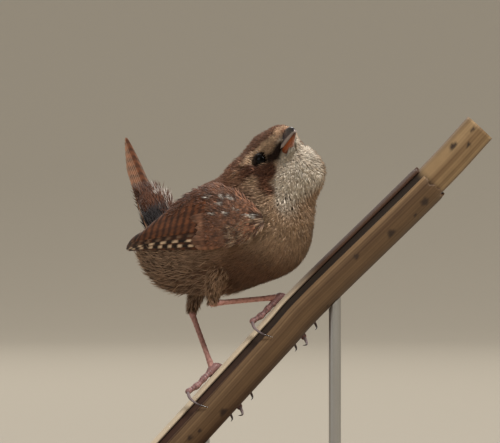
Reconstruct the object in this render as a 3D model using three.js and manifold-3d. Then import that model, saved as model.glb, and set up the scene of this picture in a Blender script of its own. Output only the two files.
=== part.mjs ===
// A Eurasian wren, life size, gripping a short cut length of reed that two rods hold over a round base.
// Millimetres, +Z up. +X is to the right as the bird is seen from its near (right) side, +Y is away.
// The origin is the middle of the base's underside. Nothing moves: it is a still model.

import * as THREE from "three";
import { mergeVertices } from "three/addons/utils/BufferGeometryUtils.js";
import Module from "manifold-3d";

const wasm = await Module();
wasm.setup();

// Clearances and fineness
const GAP = 0.15; // between neighbouring pieces
const BODY_SIDES = 30; // points round a body section
const LIMB_SIDES = 7; // points round a leg or toe
const CLAW_SIDES = 6;
const UP = new THREE.Vector3(0, 0, 1);

// Body: middle of the trunk, the way it faces and its lean, 18 degrees nose up
const TRUNK_CENTRE = [-5.85, 3.0, 70.5];
const BODY_FORWARD = [0.808, -0.505, 0.304];
const BODY_LEFT = [0.53, 0.848, 0];

// Head: point between the eyes. It looks out over the right shoulder, bill raised, rolled a little
const HEAD_CENTRE = [7.46, -5.5, 90.4];
const HEAD_FORWARD = [0.179, -0.89, 0.42];
const HEAD_LEFT = [0.903, 0.318, 0.288];

// Tail: cocked 64 degrees above level
const TAIL_ROOT = [-20.6, 12.2, 69.6];
const TAIL_ALONG = [-0.372, 0.232, 0.899];
const TAIL_LENGTH = 28.5;

// Rounded masses of the plumage: place forward, left and up of the centre, then the three radii
const TRUNK_MASSES = [
  { at: [-1, 0, 0.3], size: [20, 12, 11.8] }, // trunk
  { at: [11, 0, -1.2], size: [11.8, 12.3, 13] }, // breast
  { at: [0, 0, -4], size: [14, 10.5, 9.9] }, // belly
  { at: [-15, 0, 2.6], size: [9.5, 8, 7] }, // rump
  { at: [-13, 0, -3], size: [9, 7.5, 6.4] }, // vent
  { at: [2.5, 0, 6.6], size: [12, 9.6, 6.9] }, // mantle
  { at: [16, 3, 5.5], size: [8.4, 9.6, 8.8] }, // foreneck
  { at: [12.3, 0, 11.6], size: [6.2, 8.4, 5.6] }, // nape
];
const HEAD_MASSES = [
  { at: [-5.2, 0, 0.5], size: [7.9, 7.7, 7.9] }, // skull
  { at: [-3.6, -3.6, -2.6], size: [4.9, 4.6, 4.9] }, // right cheek
  { at: [-3.6, 3.6, -2.6], size: [4.9, 4.6, 4.9] }, // left cheek
  { at: [-2.0, 1.4, -5.6], size: [6.6, 8.2, 7.2] }, // throat
  { at: [1.5, 0, 1.2], size: [6.6, 4.4, 4.9] }, // forehead
  { at: [5.6, 0, 1.0], size: [5.0, 2.3, 2.3] }, // feathers over the bill's base
];
const TRUNK_BLEND = 4.0; // how softly the masses run together
const HEAD_BLEND = 2.4;
const WING_PAD = { at: [-11, 0, 4.6], size: [16.5, 6.6, 6.4] }; // what the closed wings lie against behind

// Line that every section plane of the body swings about, above and behind the nape
const HINGE_POINT = [-13.2, 3.0, 103.7];
const SPINE = [[-17, 0, 1.2], [-7, 0, 0], [2, 0, 0], [9, 0, 0.5], [13, 0, 4]]; // in the body's frame
const HEAD_SPINE = [[-4.5, 0, -6], [-3.4, 0, -2]]; // in the head's frame
const NECK_START = 22; // degrees of swing where the trunk ends and the neck starts
const HEAD_START = 43; // degrees of swing where the neck ends and the head starts
const JOIN_GAP = 0.45; // degrees of swing left open at those two joins

// Eyes
const EYE_RADIUS = 1.85;
const EYE_AT = [0.3, 5.3, -0.2]; // forward, out to the side and up from the head's centre

// Bill, along the head's forward axis
const BILL_START = 3.6;
const BILL_TIP = 15.9;
const BILL_HALF_WIDTH = 2.6; // at its start
const BILL_UPPER = 3.3; // depth of the upper mandible at its start
const BILL_LOWER = 1.5;
const BILL_EDGE = 0.25; // half thickness left at the tip

// Wings, folded: edges in the side view, forward and up from the trunk's centre
const WING_LOWER = [[18.0, -2.4], [13.5, -4.2], [6.0, -2.9], [-3.0, -0.8], [-13.0, 1.5], [-21.0, 3.5], [-26.0, 4.9]];
const WING_UPPER = [[18.0, -0.6], [13.5, 5.2], [6.0, 9.9], [-3.0, 11.2], [-13.0, 10.0], [-21.0, 7.9], [-26.0, 5.7]];
const WING_THICK = 1.05;
const WING_EDGE = 0.5;

// Legs
const TARSUS_RADIUS = 0.66;
const RIGHT_KNEE = [-8.0, -4.6, 60.5];
const RIGHT_ANKLE = [-9.3, -4.6, 54.1];
const LEFT_KNEE = [-12.4, 10.4, 58.5];
const LEFT_ANKLE = [-14.4, 12.3, 51.9];
const THIGH_TOP = 4.2; // radius of the feathered thigh where it leaves the body
const THIGH_END = 1.25; // radius just above the ankle
const TOE_RADIUS = 0.62;
const CLAW_RADIUS = 0.42;

// Reed: a culm in its leaf sheath, rising to the right
const REED_AXIS = [[-21.2, 0, 16.1], [-3.05, 0, 35.9], [7, 0, 46.87], [15.1, 0, 55.7], [44.0, 0, 83.9], [56.1, 0, 96.9]];
const CULM_RADIUS = 4.0;
const SHEATH_RADIUS = 4.95;
const SHEATH_INNER = 4.2;
const SHEATH_LENGTH = 0.845; // share of the culm that the sheath wraps
const SLIT_WIDTH = 30; // degrees open along the sheath
const SLIT_AT = -50; // degrees, from the reed's upper side towards the near side
const HOLLOW_RADIUS = 2.5;
const HOLLOW_DEPTH = 3.0;
const GRIP_ORIGIN = [-13.4, 0, 24.63]; // on the reed's axis, from where the feet are measured
const GRIP_ALONG = [0.6756, 0, 0.7373];
const RIGHT_GRIP = 36.1; // mm up the reed
const LEFT_GRIP = 12.9;

// Toes as they wrap the reed: mm along it from the grip, degrees round it, mm out from its axis
const HALLUX = [[-1.0, 16, 6.0], [-2.8, 6, 5.95], [-5.4, -3, 5.95], [-8.2, -11, 6.75]];
const HALLUX_CLAW = [[-8.75, -13.5, 6.75], [-9.0, -36, 6.35], [-8.7, -62, 5.9], [-7.6, -86, 5.35]];
const FRONT_TOES = {
  inner: [[1.0, 24, 6.0], [2.2, 55, 5.85], [2.6, 92, 5.8], [2.2, 122, 5.85]],
  middle: [[0.1, 26, 6.0], [0, 68, 5.85], [-1.0, 112, 5.8], [-2.6, 152, 5.95]],
  outer: [[-0.9, 24, 6.0], [-2.2, 55, 5.85], [-3.6, 90, 5.8], [-5.0, 120, 5.85]],
};
const CLAW_TURN = 34; // degrees that a front claw goes on round the reed
const CLAW_BULGE = 1.0; // mm that it arches off the reed

// Stand
const BASE_RADIUS = 43;
const BASE_HEIGHT = 8;
const BASE_BEVEL = 1.2;
const ROD_RADIUS = 1.5;
const ROD_DEPTH = 5; // sunk into the base
const ROD_PLACES = { stand_rod_low: [-11.3, 0], stand_rod_high: [20.7, 0] };

const FINISHES = {
  plumage: { color: 0x8a6a4c, roughness: 0.85, metalness: 0 },
  wing: { color: 0x7a5233, roughness: 0.8, metalness: 0 },
  eye: { color: 0x0c0a09, roughness: 0.08, metalness: 0 },
  bill: { color: 0x3a3331, roughness: 0.35, metalness: 0 },
  leg: { color: 0xb08070, roughness: 0.55, metalness: 0 },
  claw: { color: 0x8d8583, roughness: 0.35, metalness: 0 },
  culm: { color: 0x8f7a55, roughness: 0.6, metalness: 0 },
  sheath: { color: 0xa88f68, roughness: 0.65, metalness: 0 },
  base: { color: 0x4a3526, roughness: 0.45, metalness: 0 },
  rod: { color: 0x9a9a98, roughness: 0.3, metalness: 1 },
};

const vector = (list) => new THREE.Vector3(...list);

// A right-handed frame from a forward direction and a rough left one.
function makeFrame(centre, forward, left) {
  const f = vector(forward).normalize();
  const l = vector(left).addScaledVector(f, -vector(left).dot(f)).normalize();
  const u = new THREE.Vector3().crossVectors(f, l);
  return { centre: vector(centre), axes: [f, l, u] };
}

// The point at given distances along a frame's axes.
function place(frame, [forward, left, up]) {
  return frame.centre.clone()
    .addScaledVector(frame.axes[0], forward)
    .addScaledVector(frame.axes[1], left)
    .addScaledVector(frame.axes[2], up);
}

const BODY = makeFrame(TRUNK_CENTRE, BODY_FORWARD, BODY_LEFT);
const HEAD = makeFrame(HEAD_CENTRE, HEAD_FORWARD, HEAD_LEFT);
const TAIL = makeFrame(TAIL_ROOT, TAIL_ALONG, BODY_LEFT);
const TRUNK_BALLS = TRUNK_MASSES.map((mass) => ({ frame: BODY, blend: TRUNK_BLEND, ...mass }));
const HEAD_BALLS = HEAD_MASSES.map((mass) => ({ frame: HEAD, blend: HEAD_BLEND, ...mass }));
const BODY_BALLS = [...TRUNK_BALLS, ...HEAD_BALLS];
const WING_BALLS = [...TRUNK_BALLS, { frame: BODY, blend: TRUNK_BLEND, ...WING_PAD }];

// Rough distance from a point to one ellipsoid, less than zero inside.
function ellipsoidDistance(ball, point) {
  const offset = point.clone().sub(ball.frame.centre);
  let outer = 0;
  let inner = 0;
  for (let i = 0; i < 3; i++) {
    const q = (offset.dot(ball.frame.axes[i]) - ball.at[i]) / ball.size[i];
    outer += q * q;
    inner += (q / ball.size[i]) ** 2;
  }
  const reach = Math.sqrt(outer);
  return (reach * (reach - 1)) / (Math.sqrt(inner) + 1e-9);
}

// Distance to all the masses run together: each is joined with a polynomial smooth minimum.
function blendedDistance(balls, point) {
  let distance = ellipsoidDistance(balls[0], point);
  for (const ball of balls.slice(1)) {
    const next = ellipsoidDistance(ball, point);
    const share = Math.min(Math.max(0.5 + (0.5 * (next - distance)) / ball.blend, 0), 1);
    distance = next * (1 - share) + distance * share - ball.blend * share * (1 - share);
  }
  return distance;
}

// Outward direction of the blended surface, from small differences.
function outward(balls, point) {
  const step = 0.05;
  const slope = [0, 1, 2].map((i) => {
    const ahead = point.clone().setComponent(i, point.getComponent(i) + step);
    const behind = point.clone().setComponent(i, point.getComponent(i) - step);
    return blendedDistance(balls, ahead) - blendedDistance(balls, behind);
  });
  return vector(slope).normalize();
}

// Where a ray from inside first leaves the blended surface grown by some millimetres.
function leave(balls, start, direction, grow) {
  const stride = 0.5;
  const reach = 34;
  const at = (t) => start.clone().addScaledVector(direction, t);
  let far = stride;
  while (far < reach && blendedDistance(balls, at(far)) < grow) far += stride;
  let near = far - stride;
  for (let i = 0; i < 12; i++) {
    const middle = (near + far) / 2;
    if (blendedDistance(balls, at(middle)) < grow) near = middle;
    else far = middle;
  }
  return at(near);
}

// Piecewise straight reading of y over x.
function readTable(xs, ys, x) {
  let i = 0;
  while (i < xs.length - 2 && x > xs[i + 1]) i++;
  const t = Math.min(Math.max((x - xs[i]) / (xs[i + 1] - xs[i]), 0), 1);
  return ys[i] + (ys[i + 1] - ys[i]) * t;
}

// A geometry from vertices and faces, turned so that it encloses a positive volume.
function solidFrom(points, faces) {
  let volume = 0;
  for (const [a, b, c] of faces) {
    volume += points[a].dot(new THREE.Vector3().crossVectors(points[b], points[c]));
  }
  const turned = volume < 0 ? faces.map(([a, b, c]) => [a, c, b]) : faces;
  const geometry = new THREE.BufferGeometry();
  const flat = points.flatMap((p) => [p.x, p.y, p.z]);
  geometry.setAttribute("position", new THREE.Float32BufferAttribute(flat, 3));
  geometry.setIndex(turned.flat());
  return geometry;
}

// A closed solid through rings of equal count, with a point in the middle of each end.
function loft(rings) {
  const count = rings[0].length;
  const points = rings.flat();
  const faces = [];
  for (let i = 0; i < rings.length - 1; i++) {
    for (let j = 0; j < count; j++) {
      const a = i * count + j;
      const b = i * count + ((j + 1) % count);
      faces.push([a, b, b + count], [a, b + count, a + count]);
    }
  }
  for (const end of [0, rings.length - 1]) {
    const middle = new THREE.Vector3();
    rings[end].forEach((p) => middle.addScaledVector(p, 1 / count));
    points.push(middle);
    for (let j = 0; j < count; j++) {
      const a = end * count + j;
      const b = end * count + ((j + 1) % count);
      faces.push(end === 0 ? [points.length - 1, b, a] : [points.length - 1, a, b]);
    }
  }
  return solidFrom(points, faces);
}

// A closed shell between two grids of equal size, an outer and an inner one.
function shell(outer, inner) {
  const rows = outer.length;
  const columns = outer[0].length;
  const points = [...outer.flat(), ...inner.flat()];
  const back = rows * columns;
  const faces = [];
  for (let i = 0; i < rows - 1; i++) {
    for (let j = 0; j < columns - 1; j++) {
      const a = i * columns + j;
      const c = a + columns;
      faces.push([a, a + 1, c + 1], [a, c + 1, c]);
      faces.push([back + a, back + c + 1, back + a + 1], [back + a, back + c, back + c + 1]);
    }
  }
  const rim = [];
  for (let j = 0; j < columns - 1; j++) rim.push(j);
  for (let i = 0; i < rows - 1; i++) rim.push(i * columns + columns - 1);
  for (let j = columns - 1; j > 0; j--) rim.push((rows - 1) * columns + j);
  for (let i = rows - 1; i > 0; i--) rim.push(i * columns);
  rim.forEach((a, k) => {
    const b = rim[(k + 1) % rim.length];
    faces.push([b, a, back + a], [b, back + a, back + b]);
  });
  return solidFrom(points, faces);
}

// A geometry as a solid for joins and cuts, and back again.
function toSolid(geometry) {
  const bare = geometry.clone();
  bare.deleteAttribute("normal");
  bare.deleteAttribute("uv");
  const merged = mergeVertices(bare, 1e-4);
  return new wasm.Manifold(new wasm.Mesh({
    numProp: 3,
    vertProperties: new Float32Array(merged.attributes.position.array),
    triVerts: new Uint32Array(merged.index.array),
  }));
}

function toGeometry(solid) {
  const mesh = solid.getMesh();
  const geometry = new THREE.BufferGeometry();
  geometry.setAttribute("position", new THREE.Float32BufferAttribute(mesh.vertProperties, 3));
  geometry.setIndex(new THREE.Uint32BufferAttribute(mesh.triVerts, 1));
  return geometry;
}

function cut(geometry, ...tools) {
  return toGeometry(tools.reduce((solid, tool) => solid.subtract(toSolid(tool)), toSolid(geometry)));
}

function join(...geometries) {
  return toGeometry(geometries.map(toSolid).reduce((whole, solid) => whole.add(solid)));
}

// Swing angle, distance and side offset of a point about the hinge line.
const HINGE = {
  centre: vector(HINGE_POINT),
  side: BODY.axes[1],
  ahead: new THREE.Vector3(BODY.axes[0].x, BODY.axes[0].y, 0).normalize(),
};

function hingeCoordinates(point) {
  const offset = point.clone().sub(HINGE.centre);
  const ahead = offset.dot(HINGE.ahead);
  return { swing: Math.atan2(ahead, -offset.z), reach: Math.hypot(ahead, offset.z), side: offset.dot(HINGE.side) };
}

const SPINE_COORDINATES = [
  ...SPINE.map((at) => hingeCoordinates(place(BODY, at))),
  ...HEAD_SPINE.map((at) => hingeCoordinates(place(HEAD, at))),
];
const SWINGS = SPINE_COORDINATES.map((c) => c.swing);
const FIRST_SWING = SWINGS[0];
const LAST_SWING = SWINGS[SWINGS.length - 1];

// One ring of the body: rays leave the spine in the plane at a swing angle, tilted out of it by
// a cap angle at the two ends, where the rings close like a dome.
function bodyRing(swing, tilt, grow) {
  const down = HINGE.ahead.clone().multiplyScalar(Math.sin(swing)).addScaledVector(UP, -Math.cos(swing));
  const onward = HINGE.ahead.clone().multiplyScalar(Math.cos(swing)).addScaledVector(UP, Math.sin(swing));
  const start = HINGE.centre.clone()
    .addScaledVector(down, readTable(SWINGS, SPINE_COORDINATES.map((c) => c.reach), swing))
    .addScaledVector(HINGE.side, readTable(SWINGS, SPINE_COORDINATES.map((c) => c.side), swing));
  const ring = [];
  for (let j = 0; j < BODY_SIDES; j++) {
    const turn = (2 * Math.PI * j) / BODY_SIDES;
    const ray = HINGE.side.clone().multiplyScalar(Math.cos(turn) * Math.cos(tilt))
      .addScaledVector(down, Math.sin(turn) * Math.cos(tilt))
      .addScaledVector(onward, Math.sin(tilt));
    ring.push(leave(BODY_BALLS, start, ray, grow));
  }
  return ring;
}

// A length of the body between two swing angles. An end at the spine's own end closes in a dome.
function bodyLength(from, to, rings, grow = 0) {
  const domeRings = 6;
  const dome = (swing, sign) => {
    const steps = Array.from({ length: domeRings }, (_, i) => ((i + 1) / (domeRings + 0.4)) * (Math.PI / 2));
    return steps.map((tilt) => bodyRing(swing, sign * tilt, grow));
  };
  const middle = Array.from({ length: rings }, (_, i) => bodyRing(from + ((to - from) * i) / (rings - 1), 0, grow));
  const tailEnd = from === FIRST_SWING ? dome(from, -1).reverse() : [];
  const headEnd = to === LAST_SWING ? dome(to, 1) : [];
  return loft([...tailEnd, ...middle, ...headEnd]);
}

// A round limb along a smooth curve through points, with a radius for each, and rounded ends.
function limb(points, radii, sides, steps, grow = 0) {
  const curve = new THREE.CatmullRomCurve3(points, false, "centripetal");
  const frames = curve.computeFrenetFrames(steps, false);
  const stations = points.map((_, i) => i / (points.length - 1));
  const capRings = 2;
  const rings = [];
  const ring = (centre, index, radius) => Array.from({ length: sides }, (_, j) => {
    const turn = (2 * Math.PI * j) / sides;
    return centre.clone()
      .addScaledVector(frames.normals[index], Math.cos(turn) * radius)
      .addScaledVector(frames.binormals[index], Math.sin(turn) * radius);
  });
  const cap = (index, sign) => {
    const t = index / steps;
    const radius = readTable(stations, radii, t) + grow;
    for (let k = 1; k <= capRings; k++) {
      const angle = (k / (capRings + 0.5)) * (Math.PI / 2);
      const centre = curve.getPointAt(t).addScaledVector(frames.tangents[index], sign * Math.sin(angle) * radius);
      rings[sign > 0 ? "push" : "unshift"](ring(centre, index, Math.cos(angle) * radius));
    }
  };
  for (let i = 0; i <= steps; i++) {
    rings.push(ring(curve.getPointAt(i / steps), i, readTable(stations, radii, i / steps) + grow));
  }
  cap(0, -1);
  cap(steps, 1);
  return loft(rings);
}

function ball(centre, radius, fineness) {
  return new THREE.SphereGeometry(radius, fineness, Math.round(fineness * 0.6)).translate(centre.x, centre.y, centre.z);
}

// Bill: each section is half an ellipse above or below the line where the mandibles meet.
// The upper one bends down to the tip; the width narrows from the gape.
function mandible(upper, grow = 0) {
  const stations = 8;
  const half = 6;
  const rings = [];
  for (let i = 0; i <= stations; i++) {
    const t = Math.min(i / stations, 0.985);
    const x = BILL_START - grow + (BILL_TIP - (upper ? 0 : 0.5) - BILL_START + 2 * grow) * t;
    const width = BILL_HALF_WIDTH * (0.12 + 0.88 * (1 - t) ** 0.85) - 0.28 * Math.sin(Math.PI * t) + grow;
    const meet = -1.1 - 0.5 * t * t;
    const top = upper ? meet + BILL_UPPER * Math.sqrt(1 - t ** 2.2) + BILL_EDGE : meet - GAP;
    const bottom = upper ? meet : meet - BILL_LOWER * (1 - t ** 2) - BILL_EDGE;
    const height = top - bottom + 2 * grow;
    const ring = [];
    for (let j = 0; j <= half; j++) {
      const turn = (Math.PI * j) / half;
      const side = Math.cos(turn) * width;
      const rise = Math.sin(turn) * height;
      ring.push(place(HEAD, [x, side, upper ? bottom - grow + rise : top + grow - rise]));
    }
    rings.push(ring);
  }
  return loft(rings);
}

// A point of the wing's bed at a place in the side view, on the right (-1) or left (+1) side.
function wingBed(side, forward, up) {
  const start = place(BODY, [forward, 0, up]);
  const ray = BODY.axes[1].clone().multiplyScalar(side);
  const point = leave(WING_BALLS, start, ray, 0);
  return { point, normal: outward(WING_BALLS, point) };
}

// Smooth reading of an edge curve drawn through points.
function edgeCurve(points) {
  return new THREE.CatmullRomCurve3(points.map(([a, b]) => new THREE.Vector3(a, b, 0)), false, "centripetal");
}

// Folded wing: a shell that lies on its bed, thickest along the middle and thin at its edges.
function wing(side, grow = 0) {
  const rows = 14;
  const columns = 6;
  const lower = edgeCurve(WING_LOWER);
  const upper = edgeCurve(WING_UPPER);
  const outer = [];
  const inner = [];
  for (let i = 0; i <= rows; i++) {
    const t = i / rows;
    const outerRow = [];
    const innerRow = [];
    for (let j = 0; j <= columns; j++) {
      const s = j / columns;
      const at = lower.getPoint(t).lerp(upper.getPoint(t), s);
      const bed = wingBed(side, at.x, at.y);
      const crown = Math.sin(Math.PI * s) ** 0.7 * Math.min(1, (1 - t) * 5, t * 8);
      const thick = WING_EDGE + (WING_THICK - WING_EDGE) * crown;
      innerRow.push(bed.point.clone().addScaledVector(bed.normal, 2 * GAP - grow));
      outerRow.push(bed.point.clone().addScaledVector(bed.normal, 2 * GAP + thick + grow));
    }
    outer.push(outerRow);
    inner.push(innerRow);
  }
  return shell(outer, inner);
}

// Cocked tail: full round coverts at its root run out into a thin arched blade with a rounded tip.
function tail() {
  const stations = [0, 0.12, 0.24, 0.36, 0.48, 0.6, 0.75, 0.9, 0.97, 1.0];
  const halfWidths = [4.4, 5.0, 5.2, 5.0, 4.6, 4.2, 3.8, 3.3, 2.5, 1.1];
  const halfDepths = [4.4, 4.6, 4.4, 3.3, 2.0, 1.1, 0.6, 0.42, 0.32, 0.27];
  const backSets = [-0.4, -0.9, -1.2, -1.0, -0.6, -0.2, 0, 0, 0, 0];
  const arch = 0.7;
  const sides = 14;
  return loft(stations.map((t, i) => Array.from({ length: sides }, (_, j) => {
    const turn = (2 * Math.PI * j) / sides;
    const across = Math.cos(turn) * halfWidths[i];
    const deep = Math.sin(turn) * halfDepths[i] - arch * Math.cos(turn) ** 2 - backSets[i];
    return place(TAIL, [t * TAIL_LENGTH, across, -deep]);
  })));
}

// A point near the reed: mm along it from the grip's origin, degrees round it, mm out from its axis.
// Zero degrees is the upper side, 90 the far side and -90 the near side.
function aroundReed([along, degrees, out]) {
  const turn = THREE.MathUtils.degToRad(degrees);
  const d = vector(GRIP_ALONG).normalize();
  const upperSide = new THREE.Vector3(-d.z, 0, d.x);
  return vector(GRIP_ORIGIN)
    .addScaledVector(d, along)
    .addScaledVector(upperSide, Math.cos(turn) * out)
    .addScaledVector(new THREE.Vector3(0, 1, 0), Math.sin(turn) * out);
}

// All the pieces of one leg below the thigh, for a foot at a distance along the reed.
function footPieces(grip) {
  const at = ([along, degrees, out]) => aroundReed([along + grip, degrees, out]);
  const toeShape = [1.2, 1.0, 1.05, 0.85].map((k) => k * TOE_RADIUS);
  const clawShape = [1.0, 0.9, 0.7, 0.3].map((k) => k * CLAW_RADIUS);
  const toes = [limb(HALLUX.map(at), toeShape, LIMB_SIDES, 5)];
  const claws = { hallux: HALLUX_CLAW };
  for (const [name, path] of Object.entries(FRONT_TOES)) {
    toes.push(limb(path.map(at), toeShape, LIMB_SIDES, 5));
    const [along, degrees, out] = path[3];
    const lead = 7;
    claws[name] = [
      [along - 0.1, degrees + lead, out],
      [along - 0.4, degrees + lead + CLAW_TURN * 0.3, out + CLAW_BULGE * 0.7],
      [along - 0.9, degrees + lead + CLAW_TURN * 0.65, out + CLAW_BULGE],
      [along - 1.6, degrees + lead + CLAW_TURN, out + CLAW_BULGE * 0.6],
    ];
  }
  const clawSolids = {};
  const clawCutters = [];
  for (const [name, path] of Object.entries(claws)) {
    clawSolids[name] = limb(path.map(at), clawShape, CLAW_SIDES, 4);
    clawCutters.push(limb(path.map(at), clawShape, CLAW_SIDES, 4, GAP));
  }
  const pad = ball(at([0, 19, 6.1]), 1.25, 8);
  return { foot: join(pad, ...toes), claws: clawSolids, clawCutters, joint: at([0, 18, 6.6]) };
}

// Reed: the culm is a round bar with a short hollow at each cut end.
const REED_CURVE = new THREE.CatmullRomCurve3(REED_AXIS.map(vector), false, "centripetal");

function reedRing(t, radius, sides, from = 0, to = 360) {
  const tangent = REED_CURVE.getTangentAt(t);
  const upperSide = new THREE.Vector3(-tangent.z, 0, tangent.x);
  const closed = to - from === 360;
  return Array.from({ length: sides }, (_, j) => {
    const turn = THREE.MathUtils.degToRad(from + ((to - from) * j) / (closed ? sides : sides - 1));
    return REED_CURVE.getPointAt(t)
      .addScaledVector(upperSide, Math.cos(turn) * radius)
      .addScaledVector(new THREE.Vector3(0, 1, 0), Math.sin(turn) * radius);
  });
}

function reedBar(radius, from, to, steps, sides) {
  return loft(Array.from({ length: steps + 1 }, (_, i) => reedRing(from + ((to - from) * i) / steps, radius, sides)));
}

function culm() {
  const share = HOLLOW_DEPTH / REED_CURVE.getLength();
  const extend = (end, inward) => {
    const tangent = REED_CURVE.getTangentAt(end).multiplyScalar(end === 0 ? -1 : 1);
    const outside = REED_CURVE.getPointAt(end).addScaledVector(tangent, 1);
    return limb([outside, REED_CURVE.getPointAt(inward)], [HOLLOW_RADIUS, HOLLOW_RADIUS], 12, 1);
  };
  return cut(reedBar(CULM_RADIUS, 0, 1, 7, 18), extend(0, share * 0.4), extend(1, 1 - share * 0.4));
}

// Leaf sheath: a C-shaped wall round the culm, open along a slit on its upper near side.
function sheath() {
  const steps = 7;
  const sides = 18;
  const open = SLIT_AT + SLIT_WIDTH / 2;
  const ring = (t) => [
    ...reedRing(t, SHEATH_RADIUS, sides, open, open + 360 - SLIT_WIDTH),
    ...reedRing(t, SHEATH_INNER, sides, open, open + 360 - SLIT_WIDTH).reverse(),
  ];
  const outer = [];
  const inner = [];
  for (let i = 0; i <= steps; i++) {
    const points = ring((SHEATH_LENGTH * i) / steps);
    outer.push(points.slice(0, sides));
    inner.push(points.slice(sides).reverse());
  }
  return shell(outer, inner);
}

// Stand: a flat round base with a bevelled rim, and rods sunk into it that carry the reed.
function base() {
  const profile = [
    [0, 0],
    [BASE_RADIUS - 0.4, 0],
    [BASE_RADIUS, 0.4],
    [BASE_RADIUS, BASE_HEIGHT - BASE_BEVEL],
    [BASE_RADIUS - BASE_BEVEL, BASE_HEIGHT],
    [0, BASE_HEIGHT],
  ].map(([r, z]) => new THREE.Vector2(r, z));
  return new THREE.LatheGeometry(profile, 40).rotateX(Math.PI / 2);
}

function rod([x, y], bottom, top, radius) {
  return new THREE.CylinderGeometry(radius, radius, top - bottom, 16)
    .rotateX(Math.PI / 2)
    .translate(x, y, (bottom + top) / 2);
}

// Height of the reed's axis above a place along X.
function reedHeight(x) {
  let low = 0;
  let high = 1;
  for (let i = 0; i < 20; i++) {
    const middle = (low + high) / 2;
    if (REED_CURVE.getPointAt(middle).x < x) low = middle;
    else high = middle;
  }
  return REED_CURVE.getPointAt(low).z;
}

const model = new THREE.Group();

function add(name, geometry, finish) {
  const mesh = new THREE.Mesh(geometry, new THREE.MeshStandardMaterial(FINISHES[finish]));
  mesh.name = name;
  model.add(mesh);
}

// Bird: head, neck and trunk
const radians = THREE.MathUtils.degToRad;
const eyes = {
  right: place(HEAD, [EYE_AT[0], -EYE_AT[1], EYE_AT[2]]),
  left: place(HEAD, EYE_AT),
};
const sockets = Object.values(eyes).map((centre) => ball(centre, EYE_RADIUS + GAP, 12));
const billCutters = [mandible(true, GAP), mandible(false, GAP)];
const headSolid = bodyLength(radians(HEAD_START), LAST_SWING, 5);
add("head", cut(headSolid, ...sockets, ...billCutters), "plumage");
add("neck", bodyLength(radians(NECK_START), radians(HEAD_START - JOIN_GAP), 8), "plumage");
const bodyCutter = bodyLength(FIRST_SWING, LAST_SWING, 26, GAP);
const wingCutters = [wing(-1, GAP), wing(1, GAP)];
add("trunk", bodyLength(FIRST_SWING, radians(NECK_START - JOIN_GAP), 11), "plumage");
add("tail", cut(tail(), bodyCutter, ...wingCutters), "wing");
add("wing_right", cut(wing(-1), bodyCutter), "wing");
add("wing_left", cut(wing(1), bodyCutter), "wing");
for (const [side, centre] of Object.entries(eyes)) add(`eye_${side}`, ball(centre, EYE_RADIUS, 12), "eye");
add("bill_upper", mandible(true), "bill");
add("bill_lower", mandible(false), "bill");

// Bird: legs
const legs = {
  right: { knee: RIGHT_KNEE, ankle: RIGHT_ANKLE, grip: RIGHT_GRIP, hip: [-4.5, -3.4, 66] },
  left: { knee: LEFT_KNEE, ankle: LEFT_ANKLE, grip: LEFT_GRIP, hip: [-9.5, 8.4, 65] },
};
const sheathCutter = reedBar(SHEATH_RADIUS + GAP, 0, SHEATH_LENGTH, 7, 24);
for (const [side, leg] of Object.entries(legs)) {
  const { foot, claws, clawCutters, joint } = footPieces(leg.grip);
  const shin = [vector(leg.ankle), vector(leg.ankle).lerp(joint, 0.5), joint];
  const shinRadii = [1.25, 1.0, 1.15].map((k) => k * TARSUS_RADIUS);
  const shinCutter = limb(shin, shinRadii, LIMB_SIDES, 4, GAP);
  const thighPath = [leg.hip, leg.knee, leg.ankle].map(vector);
  const thigh = limb(thighPath, [THIGH_TOP, 2.7, THIGH_END], 12, 6);
  add(`thigh_${side}`, cut(thigh, bodyCutter, ...wingCutters, shinCutter), "plumage");
  add(`tarsus_${side}`, limb(shin, shinRadii, LIMB_SIDES, 4), "leg");
  add(`foot_${side}`, cut(foot, shinCutter, sheathCutter, ...clawCutters), "leg");
  for (const [toe, claw] of Object.entries(claws)) add(`claw_${side}_${toe}`, claw, "claw");
}

// Reed and stand
add("perch_culm", culm(), "culm");
add("perch_sheath", sheath(), "sheath");
const rodCutters = [];
for (const [name, spot] of Object.entries(ROD_PLACES)) {
  const top = reedHeight(spot[0]);
  const bottom = BASE_HEIGHT - ROD_DEPTH;
  add(name, cut(rod(spot, bottom, top, ROD_RADIUS), sheathCutter), "rod");
  rodCutters.push(rod(spot, bottom - GAP, BASE_HEIGHT + 1, ROD_RADIUS + GAP));
}
add("stand_base", cut(base(), ...rodCutters), "base");

export default model;
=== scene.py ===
"""A Eurasian wren gripping a cut reed over a round stand: its skin, feathers, horn, reed, wood and light.

Shapes are worked out in millimetres, in the row's frame, and become metres when a mesh is made.
"""

import logging
import math
from dataclasses import dataclass, field
from enum import Enum
from typing import Callable, Sequence

import bpy
import numpy as np
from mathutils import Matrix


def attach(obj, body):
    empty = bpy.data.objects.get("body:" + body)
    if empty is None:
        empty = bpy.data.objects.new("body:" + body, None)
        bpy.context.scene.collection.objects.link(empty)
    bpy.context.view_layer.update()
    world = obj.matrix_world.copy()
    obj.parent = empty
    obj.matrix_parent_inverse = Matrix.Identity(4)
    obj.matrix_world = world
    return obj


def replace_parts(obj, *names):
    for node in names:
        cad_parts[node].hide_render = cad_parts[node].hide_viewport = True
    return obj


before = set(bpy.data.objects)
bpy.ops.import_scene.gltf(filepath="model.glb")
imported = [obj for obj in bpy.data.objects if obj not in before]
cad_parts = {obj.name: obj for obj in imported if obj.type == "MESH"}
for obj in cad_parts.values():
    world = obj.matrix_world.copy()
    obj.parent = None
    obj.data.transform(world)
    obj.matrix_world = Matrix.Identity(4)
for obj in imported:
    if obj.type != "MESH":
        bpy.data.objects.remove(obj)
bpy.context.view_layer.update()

Array = np.ndarray
Pair = tuple[float, float]
Triple = tuple[float, float, float]
Material = bpy.types.Material
Random = np.random.Generator
LOG = logging.getLogger("wren")
MM = 0.001
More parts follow.
